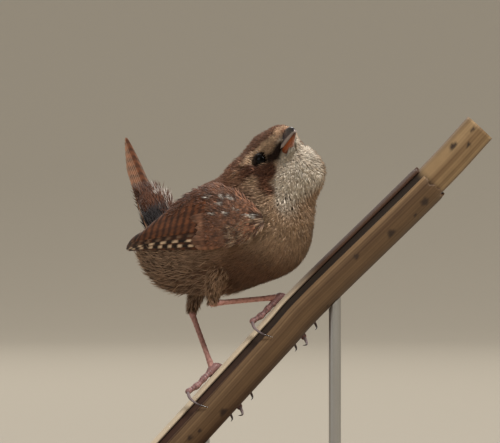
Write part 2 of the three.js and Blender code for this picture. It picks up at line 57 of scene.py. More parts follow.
ROOT = "root"
MARKINGS = "Markings"
BAKE_MAP = "OFBake"
PATCH = 0.003  # width of one tuft's patch on the bake map
FULL_TURN = 2.0 * math.pi
FAR_SIDE = np.array([0.0, 1.0, 0.0])
UP = np.array([0.0, 0.0, 1.0])


def size_of(vectors: Array) -> Array:
    """Lengths of vectors along the last axis."""
    return np.linalg.norm(vectors, axis=-1)


def unit(vectors: Array) -> Array:
    """Vectors divided by their own length, along the last axis."""
    return vectors / np.maximum(np.linalg.norm(vectors, axis=-1, keepdims=True), 1e-9)


def ramp(low: float, high: float, value: Array) -> Array:
    """A smooth step: 0 below low, 1 above high, and 3t^2 - 2t^3 between."""
    t = np.clip((value - low) / (high - low), 0.0, 1.0)
    return t * t * (3.0 - 2.0 * t)


def mix(first: Array, second: Array, share: Array) -> Array:
    """first where share is 0 and second where it is 1, with share spread over the last axis."""
    share = np.asarray(share)[..., None]
    return first * (1.0 - share) + second * share


def linear(red: float, green: float, blue: float) -> Array:
    """A display colour of 0 to 255 as linear light: ((c + 0.055) / 1.055) to the power 2.4."""
    c = np.array([red, green, blue]) / 255.0
    return np.where(c <= 0.04045, c / 12.92, ((c + 0.055) / 1.055) ** 2.4)


def mottle(points: Array, size: float, seed: float = 0.0) -> Array:
    """Soft blotches between -1 and 1: a sum of three crossed sine waves of about the given size."""
    p = points * (FULL_TURN / size)
    a = np.sin(p[..., 0] + 1.7 * np.sin(p[..., 1] * 0.7 + seed) + seed)
    b = np.sin(p[..., 1] * 1.1 + 1.3 * np.sin(p[..., 2] * 0.8 + 2.0 * seed))
    c = np.sin(p[..., 2] * 0.9 + 1.9 * np.sin(p[..., 0] * 0.6 + 3.0 * seed))
    return (a + b + c) / 3.0


def within(limits: Pair, share: Array) -> Array:
    """The value at a share of the way from the first limit to the second."""
    return limits[0] + (limits[1] - limits[0]) * share


def turns(count: int) -> Array:
    """Evenly spaced angles round a full turn, without its end."""
    return np.linspace(0, FULL_TURN, count, endpoint=False)


def crossed(rows: Array, columns: Array) -> list[Array]:
    """Two grids, one with each row's value and one with each column's."""
    return np.meshgrid(rows, columns, indexing="ij")


def lit(colour: Array, share: Array, chance: Array, along: Pair, apart: Pair) -> Array:
    """A blade's colour, lighter to its tip and uneven from blade to blade.

    Args:
        colour: colours before the light.
        share: shares along the blades.
        chance: a number from 0 to 1 for each blade.
        along: the light at the root and what the tip adds.
        apart: the light of the darkest blade and what the lightest adds.

    Returns:
        The colour times both lights.
    """
    return colour * ((along[0] + along[1] * share) * (apart[0] + apart[1] * chance))[..., None]


def read_path(share: Array, stations: Array, path: Array) -> Array:
    """Places on a path by straight reading between its corners, which stand at the stations."""
    return np.stack([np.interp(share, stations, path[:, k]) for k in range(path.shape[1])], -1)


@dataclass(frozen=True)
class Axes:
    """A place with forward, left and up directions as rows."""

    centre: Array
    rows: Array

    @staticmethod
    def facing(centre: Sequence[float], forward: Sequence[float], left: Sequence[float]) -> "Axes":
        """Axes from a forward direction and a rough left one.

        Args:
            centre: where the axes stand, in millimetres.
            forward: the way they face.
            left: a direction that is made square to forward.

        Returns:
            The right-handed axes.
        """
        ahead = unit(np.array(forward, float))
        side = np.array(left, float)
        side = unit(side - ahead * (side @ ahead))
        return Axes(np.array(centre, float), np.array([ahead, side, np.cross(ahead, side)]))

    def place(self, local: Array) -> Array:
        """Points of the row frame from distances along the axes."""
        return self.centre + np.asarray(local, float) @ self.rows

    def local(self, points: Array) -> Array:
        """Distances along the axes of points of the row frame."""
        return (points - self.centre) @ self.rows.T


BODY = Axes.facing((-5.85, 3.0, 70.5), (0.808, -0.505, 0.304), (0.53, 0.848, 0.0))
HEAD = Axes.facing((7.46, -5.5, 90.4), (0.179, -0.89, 0.42), (0.903, 0.318, 0.288))
TAIL = Axes.facing((-20.6, 12.2, 69.6), (-0.372, 0.232, 0.899), (0.53, 0.848, 0.0))


@dataclass(frozen=True)
class Mass:
    """One rounded mass of the bird: its axes, its middle in them, three radii and how softly it joins."""

    axes: Axes
    at: Triple
    size: Triple
    blend: float

    def distance(self, points: Array) -> Array:
        """Rough distance to an ellipsoid: k(k - 1) over the gradient's length, with k the scaled radius."""
        size = np.array(self.size)
        q = (self.axes.local(points) - np.array(self.at)) / size
        reach = size_of(q)
        return reach * (reach - 1.0) / (size_of(q / size) + 1e-9)


TRUNK_SHAPES = (
    ((-1, 0, 0.3), (20, 12, 11.8)),
    ((11, 0, -1.2), (11.8, 12.3, 13)),
    ((0, 0, -4), (14, 10.5, 9.9)),
    ((-15, 0, 2.6), (9.5, 8, 7)),
    ((-13, 0, -3), (9, 7.5, 6.4)),
    ((2.5, 0, 6.6), (12, 9.6, 6.9)),
    ((16, 3, 5.5), (8.4, 9.6, 8.8)),
    ((12.3, 0, 11.6), (6.2, 8.4, 5.6)),
)
HEAD_SHAPES = (
    ((-5.2, 0, 0.5), (7.9, 7.7, 7.9)),
    ((-3.6, -3.6, -2.6), (4.9, 4.6, 4.9)),
    ((-3.6, 3.6, -2.6), (4.9, 4.6, 4.9)),
    ((-2.0, 1.4, -5.6), (6.6, 8.2, 7.2)),
    ((1.5, 0, 1.2), (6.6, 4.4, 4.9)),
    ((5.6, 0, 1.0), (5.0, 2.3, 2.3)),
)
WING_PAD = ((-11, 0, 4.6), (16.5, 6.6, 6.4))
TRUNK_BLEND = 4.0
HEAD_BLEND = 2.4
TRUNK_MASSES = tuple(Mass(BODY, at, size, TRUNK_BLEND) for at, size in TRUNK_SHAPES)
HEAD_MASSES = tuple(Mass(HEAD, at, size, HEAD_BLEND) for at, size in HEAD_SHAPES)


@dataclass(frozen=True)
class Form:
    """A smooth shape made of masses run together, with its feathers' outline as its surface."""

    masses: tuple[Mass, ...]
    coat_depth: Pair = (0.3, 1.35)
    coat_reach: Pair = (3.0, 13.0)
    bill_place: Triple = (6.0, 0.0, 0.0)
    probe: float = 0.05
    passes: int = 3
    stride: float = 0.5
    farthest: float = 34.0
    halvings: int = 14

    def distance(self, points: Array) -> Array:
        """Distance to the outline: each mass joins by a polynomial smooth minimum."""
        total = self.masses[0].distance(points)
        for mass in self.masses[1:]:
            other = mass.distance(points)
            share = np.clip(0.5 + 0.5 * (other - total) / mass.blend, 0.0, 1.0)
            total = other * (1 - share) + total * share - mass.blend * share * (1 - share)
        return total

    def outward(self, points: Array) -> Array:
        """Outward directions, from central differences of the distance."""
        steps = np.eye(3) * self.probe
        slopes = [self.distance(points + step) - self.distance(points - step) for step in steps]
        return unit(np.stack(slopes, -1))

    def coat(self, points: Array) -> Array:
        """Depth of the plumage: thin at the face, growing with distance from the bill."""
        reach = size_of(HEAD.local(points) - np.array(self.bill_place))
        return within(self.coat_depth, ramp(*self.coat_reach, reach))

    def settle(self, points: Array, height: Array) -> Array:
        """Points moved square to the surface until each lies at its height from the outline."""
        for _ in range(self.passes):
            points = points + self.outward(points) * (height - self.distance(points))[..., None]
        return points

    def leave(self, start: Array, ray: Array, inset: Callable[[Array], Array]) -> Array:
        """Where rays from inside first cross the inset surface, by marching and halving.

        Args:
            start: inner points, broadcast against the rays.
            ray: unit directions.
            inset: depth under the outline at given points.

        Returns:
            The crossing points.
        """
        reach = np.zeros(ray.shape[:-1])
        still = np.ones(ray.shape[:-1], bool)
        while still.any() and reach.max() < self.farthest:
            points = start + ray * (reach + self.stride)[..., None]
            still &= self.distance(points) + inset(points) < 0.0
            reach = np.where(still, reach + self.stride, reach)
        low, high = reach, reach + self.stride
        for _ in range(self.halvings):
            middle = (low + high) / 2
            points = start + ray * middle[..., None]
            inside = self.distance(points) + inset(points) < 0.0
            low = np.where(inside, middle, low)
            high = np.where(inside, high, middle)
        return start + ray * low[..., None]


BIRD = Form(TRUNK_MASSES + HEAD_MASSES)
WING_BED = Form(TRUNK_MASSES + (Mass(BODY, *WING_PAD, TRUNK_BLEND),))
HINGE_POINT = np.array([-13.2, 3.0, 103.7])
SPINE = ((-17, 0, 1.2), (-7, 0, 0), (2, 0, 0), (9, 0, 0.5), (13, 0, 4))
HEAD_SPINE = ((-4.5, 0, -6), (-3.4, 0, -2))
BILL_BASE = HEAD.place([8.0, 0.0, 0.0])
TAIL_BASE = TAIL.place([5.0, 0.0, 0.0])
EYE_AT = np.array([0.3, 5.3, -0.2])
EYE_LOOK = unit(np.array([0.87, 0.44, -0.17]))
EYE_RADIUS = 1.85
FAR_EYE_INSET = np.array([0.6, 0.8, 0.0])
HEAD_MIDDLE = np.array([-2.5, 0.0, -2.5])


def swept_skin(rings: int, caps: int, sides: int) -> Array:
    """The skin as a grid: planes swing about a line above the nape, and rays in each meet the form.

    The swing angle runs from rump to crown along rows and the ray's turn runs along columns. At both
    ends the rays tilt out of the last plane by up to a right angle, so the grid closes like a dome.

    Args:
        rings: planes between the two ends.
        caps: rings in each closing dome.
        sides: rays in a ring.

    Returns:
        Points, as rows by columns by 3.
    """
    side = BODY.rows[1]
    ahead = unit(BODY.rows[0] * np.array([1.0, 1.0, 0.0]))
    spine = np.vstack([BODY.place(SPINE), HEAD.place(HEAD_SPINE)]) - HINGE_POINT
    swing = np.arctan2(spine @ ahead, -spine[:, 2])
    reach = np.hypot(spine @ ahead, spine[:, 2])
    tilts = (np.arange(caps) + 1) / (caps + 0.15) * math.pi / 2
    sweep = np.linspace(swing[0], swing[-1], rings)
    angle = np.r_[np.full(caps, swing[0]), sweep, np.full(caps, swing[-1])]
    tilt = np.r_[-tilts[::-1], np.zeros(rings), tilts][:, None, None]
    down = np.sin(angle)[:, None] * ahead - np.cos(angle)[:, None] * UP
    onward = np.cos(angle)[:, None] * ahead + np.sin(angle)[:, None] * UP
    start = HINGE_POINT + np.interp(angle, swing, reach)[:, None] * down
    start = start + np.interp(angle, swing, spine @ side)[:, None] * side
    turn = turns(sides)[None, :, None]
    ray = np.cos(turn) * side + np.sin(turn) * down[:, None]
    ray = np.cos(tilt) * ray + np.sin(tilt) * onward[:, None]
    return BIRD.leave(np.broadcast_to(start[:, None], ray.shape), ray, BIRD.coat)


@dataclass(frozen=True)
class Palette:
    """Plumage colours in linear light."""

    crown: Array
    mantle: Array
    rufous: Array
    bar: Array
    breast: Array
    belly: Array
    flank: Array
    throat: Array
    ear: Array
    lores: Array
    brow: Array
    white: Array
    slate: Array


PALETTE = Palette(
    crown=linear(132, 94, 72),
    mantle=linear(168, 118, 90),
    rufous=linear(128, 76, 46),
    bar=linear(50, 29, 19),
    breast=linear(176, 147, 120),
    belly=linear(120, 87, 63),
    flank=linear(198, 164, 134),
    throat=linear(226, 216, 200),
    ear=linear(84, 54, 40),
    lores=linear(40, 23, 15),
    brow=linear(228, 196, 162),
    white=linear(240, 232, 220),
    slate=linear(36, 31, 31),
)
SHANK = linear(214, 158, 146)
SHANK_SHADE = linear(160, 104, 92)
TOE = linear(158, 116, 112)
CLAW = linear(132, 116, 116)
CLAW_TIP = linear(30, 22, 21)
PUPIL = linear(5, 4, 4)
IRIS = linear(16, 11, 9)
EYELID = linear(34, 24, 20)
RIDGE = linear(52, 48, 58)
# Partly the upper mandible's paler edge horn, partly a painted highlight along its cutting edge.
CUTTING_EDGE_AND_HIGHLIGHT = linear(196, 180, 172)
RIDGE_TIP = linear(30, 26, 30)
# The lower mandible's orange: partly its own warm horn, partly painted glow of light passing through the
# horn.
LOWER_HORN_AND_GLOW = linear(150, 78, 40)
LOWER_TIP = linear(84, 46, 34)
# Painted shade at the lower mandible's base, under the throat feathers.
LOWER_ROOT_SHADE = linear(66, 32, 20)
# Painted shade along the lower mandible's upper edges, under the upper mandible.
LOWER_SIDE_SHADE = linear(96, 40, 24)
STRAW = linear(162, 134, 96)
STRAW_STREAK = linear(92, 66, 40)
# Painted shade of the culm inside the sheath, seen through its slit.
SLIT_SHADE_LOW = linear(52, 26, 16)
SLIT_SHADE_HIGH = linear(20, 11, 8)
STRAW_SPOT = linear(52, 38, 26)
CUT_END = linear(196, 172, 130)
SHEATH = linear(158, 128, 92)
SHEATH_STREAK = linear(70, 47, 28)
# Painted shade on the sheath's underside.
SHEATH_UNDER_SHADE = linear(74, 52, 30)
SHEATH_RIM = linear(214, 196, 168)
SHEATH_RIM_HIGH = linear(62, 36, 22)
SHEATH_SPOT = linear(46, 32, 22)
# Painted shade on the sheath's inner face.
SHEATH_LINING_SHADE = linear(70, 40, 26)
STAGE = linear(176, 168, 154)
BROW_LINE = ((7.6, 2.5, 1.6), (5.3, 3.6, 2.0), (2.5, 4.3, 2.8), (0.9, 5.2, 2.6), (-0.5, 6.4, 2.7),
             (-0.7, 8.1, 2.0), (-0.4, 9.6, 0.6))
LORE_LINE = ((8.3, 1.7, -0.9), (6.6, 2.4, -1.2), (4.4, 3.2, -1.7), (3.0, 4.2, -1.3))
EAR_LINE = ((2.4, 5.3, -3.6), (1.2, 7.2, -3.2), (0.7, 8.7, -1.6), (0.0, 10.2, -1.2), (-1.6, 11.0, -2.5))
CHEEK_LINE = ((2.3, 5.4, -4.6), (1.4, 7.3, -5.2), (1.3, 8.0, -6.8), (1.6, 7.4, -8.6))


def from_line(points: Array, line: Sequence[Sequence[float]]) -> Array:
    """Distance of points from a bent line: the least distance to any of its straight parts."""
    least = np.full(points.shape[:-1], 1e9)
    corners = np.array(line)
    for start, end in zip(corners[:-1], corners[1:]):
        way = end - start
        share = np.clip(((points - start) @ way) / (way @ way), 0.0, 1.0)[..., None]
        least = np.minimum(least, size_of(points - start - way * share))
    return least


def bars_along(distance: Array, pitch: float, share: float = 0.45) -> Array:
    """1 on dark bars that repeat every pitch, with soft edges, and 0 between them."""
    softness = 0.35
    wave = np.sin(FULL_TURN * distance / pitch)
    return ramp(-softness, softness, wave - (1 - 2 * share))


def trunk_marks(points: Array, blotch: Array) -> Array:
    """Markings of the trunk: brown and barred above, buff in front, pale and barred at the sides.

    Args:
        points: places on or near the skin.
        blotch: the soft unevenness that both body and head share.

    Returns:
        Linear colours.
    """
    body = BODY.local(points)
    ahead, beside, above = body[..., 0], body[..., 1], body[..., 2]
    pitch = 2.6
    # Darker towards the rear and below: partly the belly's own browner buff, partly painted shade under the
    # body.
    colour = mix(PALETTE.belly, PALETTE.breast, ramp(1.0, 13.0, ahead + 0.7 * above + 1.5 * blotch))
    flank = ramp(4.0, 8.0, np.abs(beside)) * ramp(9.0, 2.0, ahead) * ramp(-9.0, -4.0, above)
    colour = mix(colour, PALETTE.flank, flank * 0.45)
    wave = ahead * 0.92 - above * 0.35 + 0.9 * mottle(points, 5.0, 1.0)
    barred = ramp(8.0, -4.0, ahead) * (0.35 + 0.65 * ramp(2.0, -12.0, ahead)) * ramp(5.0, 1.0, above)
    colour = mix(colour, PALETTE.bar * 1.1, bars_along(wave, pitch, 0.46) * barred)
    back = mix(PALETTE.mantle, PALETTE.rufous, ramp(4.0, -14.0, ahead))
    back = mix(back, PALETTE.bar, bars_along(ahead + 0.8 * blotch, pitch, 0.4) * 0.5)
    return mix(colour, back, ramp(1.5, 6.5, above + 0.12 * ahead - 3.5 * ramp(10.0, 20.0, ahead)))


def plumage(points: Array) -> Array:
    """The bird's markings at places on its body.

    The trunk's run into the head's. The throat is pale, and a pale brow runs over the eye and curls
    down behind it. The lores are near black, the ear feathers dark, the crown brown and mottled.

    Args:
        points: places on or near the skin.

    Returns:
        Linear colours.
    """
    head = HEAD.local(points)
    x, y, z = head[..., 0], head[..., 1], head[..., 2]
    mirrored = np.stack([x, np.abs(y), z], -1)
    blotch = mottle(points, 2.6)
    colour = trunk_marks(points, blotch)
    edge = np.interp(z, (-12.0, -10.3, -7.8, -5.7, -3.6, 0.0), (7.0, 6.3, 5.8, 4.5, 3.2, 2.4))
    pale = ramp(edge + 0.9, edge - 0.9, -y) * ramp(9.5, 7.0, y) * ramp(1.5, 0.0, z)
    face = mix(PALETTE.breast * 1.05, PALETTE.throat, pale * ramp(-1.5, 1.5, x) * (0.8 + 0.2 * blotch))
    face = mix(face, PALETTE.ear, ramp(0.3, 0.7, mottle(points, 1.3, 2.0)) * 0.3)
    ear = ramp(2.4, 1.2, from_line(mirrored, EAR_LINE)) * (1 - ramp(0.0, 3.0, y) * ramp(-2.0, 0.0, x))
    cheek = ramp(2.2, 0.9, from_line(mirrored, CHEEK_LINE)) * ramp(4.0, 0.0, y)
    streak = ramp(0.0, 0.6, mottle(points, 1.1, 4.0))
    face = mix(face, mix(PALETTE.ear * 1.25, PALETTE.mantle, streak * 0.6), cheek)
    face = mix(face, mix(PALETTE.ear, PALETTE.mantle, streak * 0.35), ear)
    crown = mix(PALETTE.crown, PALETTE.bar, ramp(0.1, 0.6, mottle(points, 1.5, 5.0)) * 0.55)
    high = z - 0.06 * x - np.interp(np.abs(y), (0.0, 4.0, 7.0, 10.0), (2.0, 2.2, 1.8, 0.0))
    face = mix(face, crown, ramp(-0.3, 0.7, high))
    lores = ramp(1.9, 0.3, from_line(mirrored, LORE_LINE)) * ramp(3.0, 0.0, y)
    face = mix(face, PALETTE.lores, np.clip(lores * 1.2, 0, 1))
    from_brow = from_line(mirrored, BROW_LINE)
    brow = ramp(0.95, 0.35, from_brow) * (0.65 + 0.35 * streak) * ramp(7.0, 3.0, x)
    brow = np.maximum(brow, ramp(1.2, 0.3, from_brow) * 0.5)
    face = mix(face, PALETTE.brow, brow)
    tuft = ramp(2.1, 1.1, size_of(mirrored - np.array([8.2, 0.7, 2.6])))
    face = mix(face, PALETTE.brow * 1.1, tuft * 0.9)
    near_head = ramp(15.5, 10.5, size_of(head + np.array([2.0, 0.0, 4.0])))
    return mix(colour, face, near_head)


def feather_flow(points: Array, outward: Array) -> Array:
    """The lie of the coat: away from the bill and towards the tail's root, laid on the surface."""
    push_reach, push_near, home_pull = 14.0, 6.0, 0.75
    away = points - BILL_BASE
    home = TAIL_BASE - points
    pull = unit(away) * (push_reach / (np.linalg.norm(away, axis=-1, keepdims=True) + push_near))
    pull = pull + unit(home) * home_pull
    return unit(pull - outward * np.sum(pull * outward, -1, keepdims=True))


@dataclass
class Build:
    """A mesh in the making: points, faces of three or four corners, colours and a bake map."""

    points: list[Array] = field(default_factory=list)
    faces: list[Array] = field(default_factory=list)
    colours: list[Array] = field(default_factory=list)
    maps: list[Array] = field(default_factory=list)
    count: int = 0

    def add(
        self, points: Array, faces: Sequence[Array], colours: Array, uv: Array | None = None
    ) -> None:
        """Adds a part.

        Args:
            points: its vertices, in millimetres.
            faces: arrays of corner numbers, each array with one corner count.
            colours: a linear colour for each vertex.
            uv: a bake map place for each vertex, if the piece brings a map.
        """
        self.points.append(points.reshape(-1, 3))
        self.faces.extend(np.asarray(f) + self.count for f in faces)
        self.colours.append(np.broadcast_to(colours, points.shape).reshape(-1, 3))
        if uv is not None:
            self.maps.append(np.broadcast_to(uv, points.shape[:-1] + (2,)).reshape(-1, 2))
        self.count += len(self.points[-1])

    def finish(
        self, name: str, material: Material, slot: str, smooth: bool = True
    ) -> bpy.types.Object:
        """Makes the piece's object, riding on the root body.

        Args:
            name: the piece's name.
            material: its finish.
            slot: not used.
            smooth: whether its faces are shaded smooth.

        Returns:
            The new object.
        """
        points = np.vstack(self.points) * MM
        loops = np.concatenate([f.ravel() for f in self.faces])
        sizes = np.concatenate([np.full(len(f), f.shape[1]) for f in self.faces])
        mesh = bpy.data.meshes.new(name)
        mesh.vertices.add(len(points))
        mesh.vertices.foreach_set("co", points.astype(np.float32).ravel())
        mesh.loops.add(len(loops))
        mesh.loops.foreach_set("vertex_index", loops.astype(np.int32))
        mesh.polygons.add(len(sizes))
        mesh.polygons.foreach_set("loop_start", np.r_[0, np.cumsum(sizes)[:-1]].astype(np.int32))
        mesh.polygons.foreach_set("use_smooth", np.full(len(sizes), smooth))
        mesh.update(calc_edges=True)
        mesh.validate()
        colour = mesh.attributes.new(MARKINGS, "FLOAT_COLOR", "POINT")
        shades = np.hstack([np.vstack(self.colours), np.ones((len(points), 1))])
        colour.data.foreach_set("color", shades.astype(np.float32).ravel())
        if self.maps:
            layer = mesh.uv_layers.new(name=BAKE_MAP)
            layer.data.foreach_set("uv", np.vstack(self.maps)[loops].astype(np.float32).ravel())
        mesh.materials.append(material)
        piece = bpy.data.objects.new(name, mesh)
        bpy.context.scene.collection.objects.link(piece)
        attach(piece, ROOT)
        LOG.info("%s: %d faces", name, len(sizes))
        return piece


def one_part(
    name: str,
    solid: tuple[Array, list[Array]],
    colours: Array,
    material: Material,
    slot: str,
    smooth: bool = True,
) -> bpy.types.Object:
    """Makes a piece of one part, without a bake map of its own.

    Args:
        name: the piece's name.
        solid: its points and its faces.
        colours: a linear colour for all of it or for each point.
        material: its finish.
        slot: not used; it is only handed on to Build.finish.
        smooth: whether its faces are shaded smooth.

    Returns:
        The new object.
    """
    build = Build()
    build.add(*solid, colours)
    return build.finish(name, material, slot, smooth)


def grid_faces(rows: int, columns: int, closed: bool) -> Array:
    """Quads of a grid of points, joined across its first and last column if closed."""
    i = np.arange(rows - 1)[:, None]
    j = np.arange(columns if closed else columns - 1)[None, :]
    a = i * columns + j
    b = i * columns + (j + 1) % columns
    return np.stack([a, a + columns, b + columns, b], -1).reshape(-1, 4)


def tube(rings: Array) -> tuple[Array, list[Array]]:
    """A closed solid through rings, with a point in the middle of each end.

    Args:
        rings: rows of ring points. They run counter-clockwise as seen from the first ring's outside.

    Returns:
        Its points and its faces.
    """
    rows, columns = rings.shape[:2]
    points = np.vstack([rings.reshape(-1, 3), rings[0].mean(0), rings[-1].mean(0)])
    j = np.arange(columns)
    k = (j + 1) % columns
    end = (rows - 1) * columns
    first = np.stack([np.full(columns, rows * columns), j, k], -1)
    last = np.stack([np.full(columns, rows * columns + 1), end + k, end + j], -1)
    faces = [grid_faces(rows, columns, True), first, last]
    return points, outward_faces(points, faces)


def turned(profile: Array, sides: int) -> Array:
    """Rings of a turned shape from its profile of radii and heights."""
    turn = turns(sides)[None, :]
    radius, height = profile[:, :1], profile[:, 1:]
    return np.stack([radius * np.cos(turn), radius * np.sin(turn), height + 0 * turn], -1)


def outward_faces(points: Array, faces: list[Array]) -> list[Array]:
    """The faces, all reversed if they enclose a negative volume: a sum of p . (q x r) over fans."""
    volume = 0.0
    for face in faces:
        for k in range(1, face.shape[1] - 1):
            p, q, r = points[face[:, 0]], points[face[:, k]], points[face[:, k + 1]]
            volume += np.sum(p * np.cross(q, r))
    return [f[:, ::-1] for f in faces] if volume < 0 else faces


def plate(outer: Array, inner: Array) -> tuple[Array, list[Array]]:
    """A closed shell between two equal grids, an outer and an inner one.

    Args:
        outer: rows by columns of points.
        inner: the same for the other face.

    Returns:
        Its points and its faces.
    """
    rows, columns = outer.shape[:2]
    points = np.vstack([outer.reshape(-1, 3), inner.reshape(-1, 3)])
    front = grid_faces(rows, columns, False)
    back = front[:, ::-1] + rows * columns
    j, i = np.arange(columns), np.arange(rows)
    last_row = (rows - 1) * columns
    rim = np.r_[j, i[1:] * columns + columns - 1, last_row + j[::-1][1:], i[::-1][1:-1] * columns]
    after = np.roll(rim, -1)
    edge = np.stack([rim, after, after + rows * columns, rim + rows * columns], -1)
    return points, outward_faces(points, [front, back, edge])


def both_sides(values: Array) -> Array:
    """A grid's values in rows, for a plate's outer points and again for its inner ones."""
    return np.concatenate([values.reshape(-1, values.shape[-1])] * 2)


def curve_points(points: Sequence[Sequence[float]], count: int) -> Array:
    """A smooth path through points: a Catmull-Rom cubic on each span, evenly spaced by length."""
    p = np.array(points, float)
    p = np.vstack([2 * p[0] - p[1], p, 2 * p[-1] - p[-2]])
    t = np.linspace(0, 1, 24, endpoint=False)[:, None]
    spans = [
        0.5 * (2 * b + (c - a) * t + (2 * a - 5 * b + 4 * c - d) * t**2 + (3 * b - a - 3 * c + d) * t**3)
        for a, b, c, d in zip(p[:-3], p[1:-2], p[2:-1], p[3:])
    ]
    path = np.vstack([*spans, p[-2]])
    length = np.r_[0, np.cumsum(np.linalg.norm(np.diff(path, axis=0), axis=1))]
    return read_path(np.linspace(0, length[-1], count), length, path)


DOME = (72.0, 45.0, 20.0)  # degrees of the rings that round off a limb's end


def limb_rings(path: Array, radii: Array, sides: int, side_hint: Array, squash: float = 1.0) -> Array:
    """Rings along a path, square to it, with domed ends.

    Args:
        path: centre points.
        radii: a radius for each.
        sides: points in a ring.
        side_hint: a direction that is never along the path.
        squash: height over width of each ring.

    Returns:
        Rings as rows by sides by 3.
    """
    tangent = unit(np.gradient(path, axis=0))
    side = unit(np.cross(side_hint, tangent))
    rise = np.cross(tangent, side)
    cap = np.radians(DOME)
    start = path[0] - tangent[0] * np.sin(cap)[:, None] * radii[0]
    end = path[-1] + tangent[-1] * np.sin(cap[::-1])[:, None] * radii[-1]
    centres = np.vstack([start, path, end])
    spread = np.r_[np.cos(cap) * radii[0], radii, np.cos(cap[::-1]) * radii[-1]][:, None, None]
    ends = (len(DOME), len(DOME))
    side, rise = (np.pad(way, (ends, (0, 0)), mode="edge")[:, None] for way in (side, rise))
    turn = turns(sides)[None, :, None]
    return centres[:, None] + spread * (np.cos(turn) * side + squash * np.sin(turn) * rise)


Shade = Callable[[Array, Array, Array], Array]
LEAST_WEIGHT = 1e-6  # keeps a stand's weights from adding up to nothing
TUFT_TONE = 0.62  # how far the blades of a tuft share their leader's tone


@dataclass(frozen=True)
class Coat:
    """A stand of barbs or small vanes: how long and wide they are, and how they stand."""

    length: Pair
    width: Pair
    tip_height: Pair = (-0.35, 0.0)
    wander: float = 0.22
    stations: tuple[float, ...] = (0.0, 0.55, 1.0)
    profile: tuple[float, ...] = (0.75, 1.0)
    thick: float = 0.07
    tuft: int = 9
    gather: float = 0.5


@dataclass
class Roots:
    """Where feathers grow: places, skin directions, the lie of the coat and bake map places."""

    points: Array
    outward: Array
    flow: Array
    uv: Array

    def keep(self, chosen: Array) -> "Roots":
        """The chosen roots only."""
        return Roots(self.points[chosen], self.outward[chosen], self.flow[chosen], self.uv[chosen])


def scatter(
    grid: Array, weight: Array, count: int, rng: Random, closed: bool = True
) -> tuple[Array, Array]:
    """Random places on a grid surface, as dense as each cell's area times its weight.

    Args:
        grid: rows by columns of points.
        weight: one number for each grid point.
        count: how many places.
        rng: the seeded generator.
        closed: whether the last column joins the first.

    Returns:
        The places and their (column, row) shares of the grid, from 0 to 1.
    """
    if closed:
        grid = np.concatenate([grid, grid[:, :1]], 1)
        weight = np.concatenate([weight, weight[:, :1]], 1)
    across = grid[:-1, 1:] - grid[:-1, :-1]
    along = grid[1:, :-1] - grid[:-1, :-1]
    cells = size_of(np.cross(across, along)) * weight[:-1, :-1]
    rows, columns = cells.shape
    chosen = rng.choice(cells.size, count, p=cells.ravel() / cells.sum())
    i, j = chosen // columns, chosen % columns
    s, t = rng.random((2, count, 1))
    low = grid[i, j] * (1 - s) + grid[i, j + 1] * s
    high = grid[i + 1, j] * (1 - s) + grid[i + 1, j + 1] * s
    uv = np.stack([(j + s[:, 0]) / columns, (i + t[:, 0]) / rows], -1)
    return low * (1 - t) + high * t, uv


def gather_tufts(points: Array, count: int) -> tuple[Array, Array]:
    """Each point's nearest of the first count points, by the squares of distances in blocks.

    Args:
        points: places of roots, in random order.
        count: how many of them lead a tuft.

    Returns:
        The leader's number and the offset to it, for each point.
    """
    leaders = points[:count].astype(np.float32)
    nearest = []
    for block in np.array_split(points.astype(np.float32), max(1, len(points) // 4000)):
        nearest.append(np.argmin(np.sum(leaders**2, 1)[None] - 2.0 * block @ leaders.T, 1))
    leader = np.concatenate(nearest)
    return leader, points[leader] - points


def lozenge_faces(count: int, steps: int) -> list[Array]:
    """Faces of blades of steps rings of four points and a tip point: sides, root ends and tips."""
    stride = steps * 4 + 1
    first = np.arange(count)[:, None] * stride
    corner = np.arange(4)
    after = (corner + 1) % 4
    quads = []
    for ring in range(0, (steps - 1) * 4, 4):
        a, b = first + ring + corner, first + ring + after
        quads.append(np.stack([a, b, b + 4, a + 4], -1).reshape(-1, 4))
    quads.append((first + corner[::-1]).reshape(-1, 4))
    a, b = first + stride - 5 + corner, first + stride - 5 + after
    tips = np.stack([a, b, np.broadcast_to(first + stride - 1, a.shape)], -1).reshape(-1, 3)
    return [np.vstack(quads), tips]


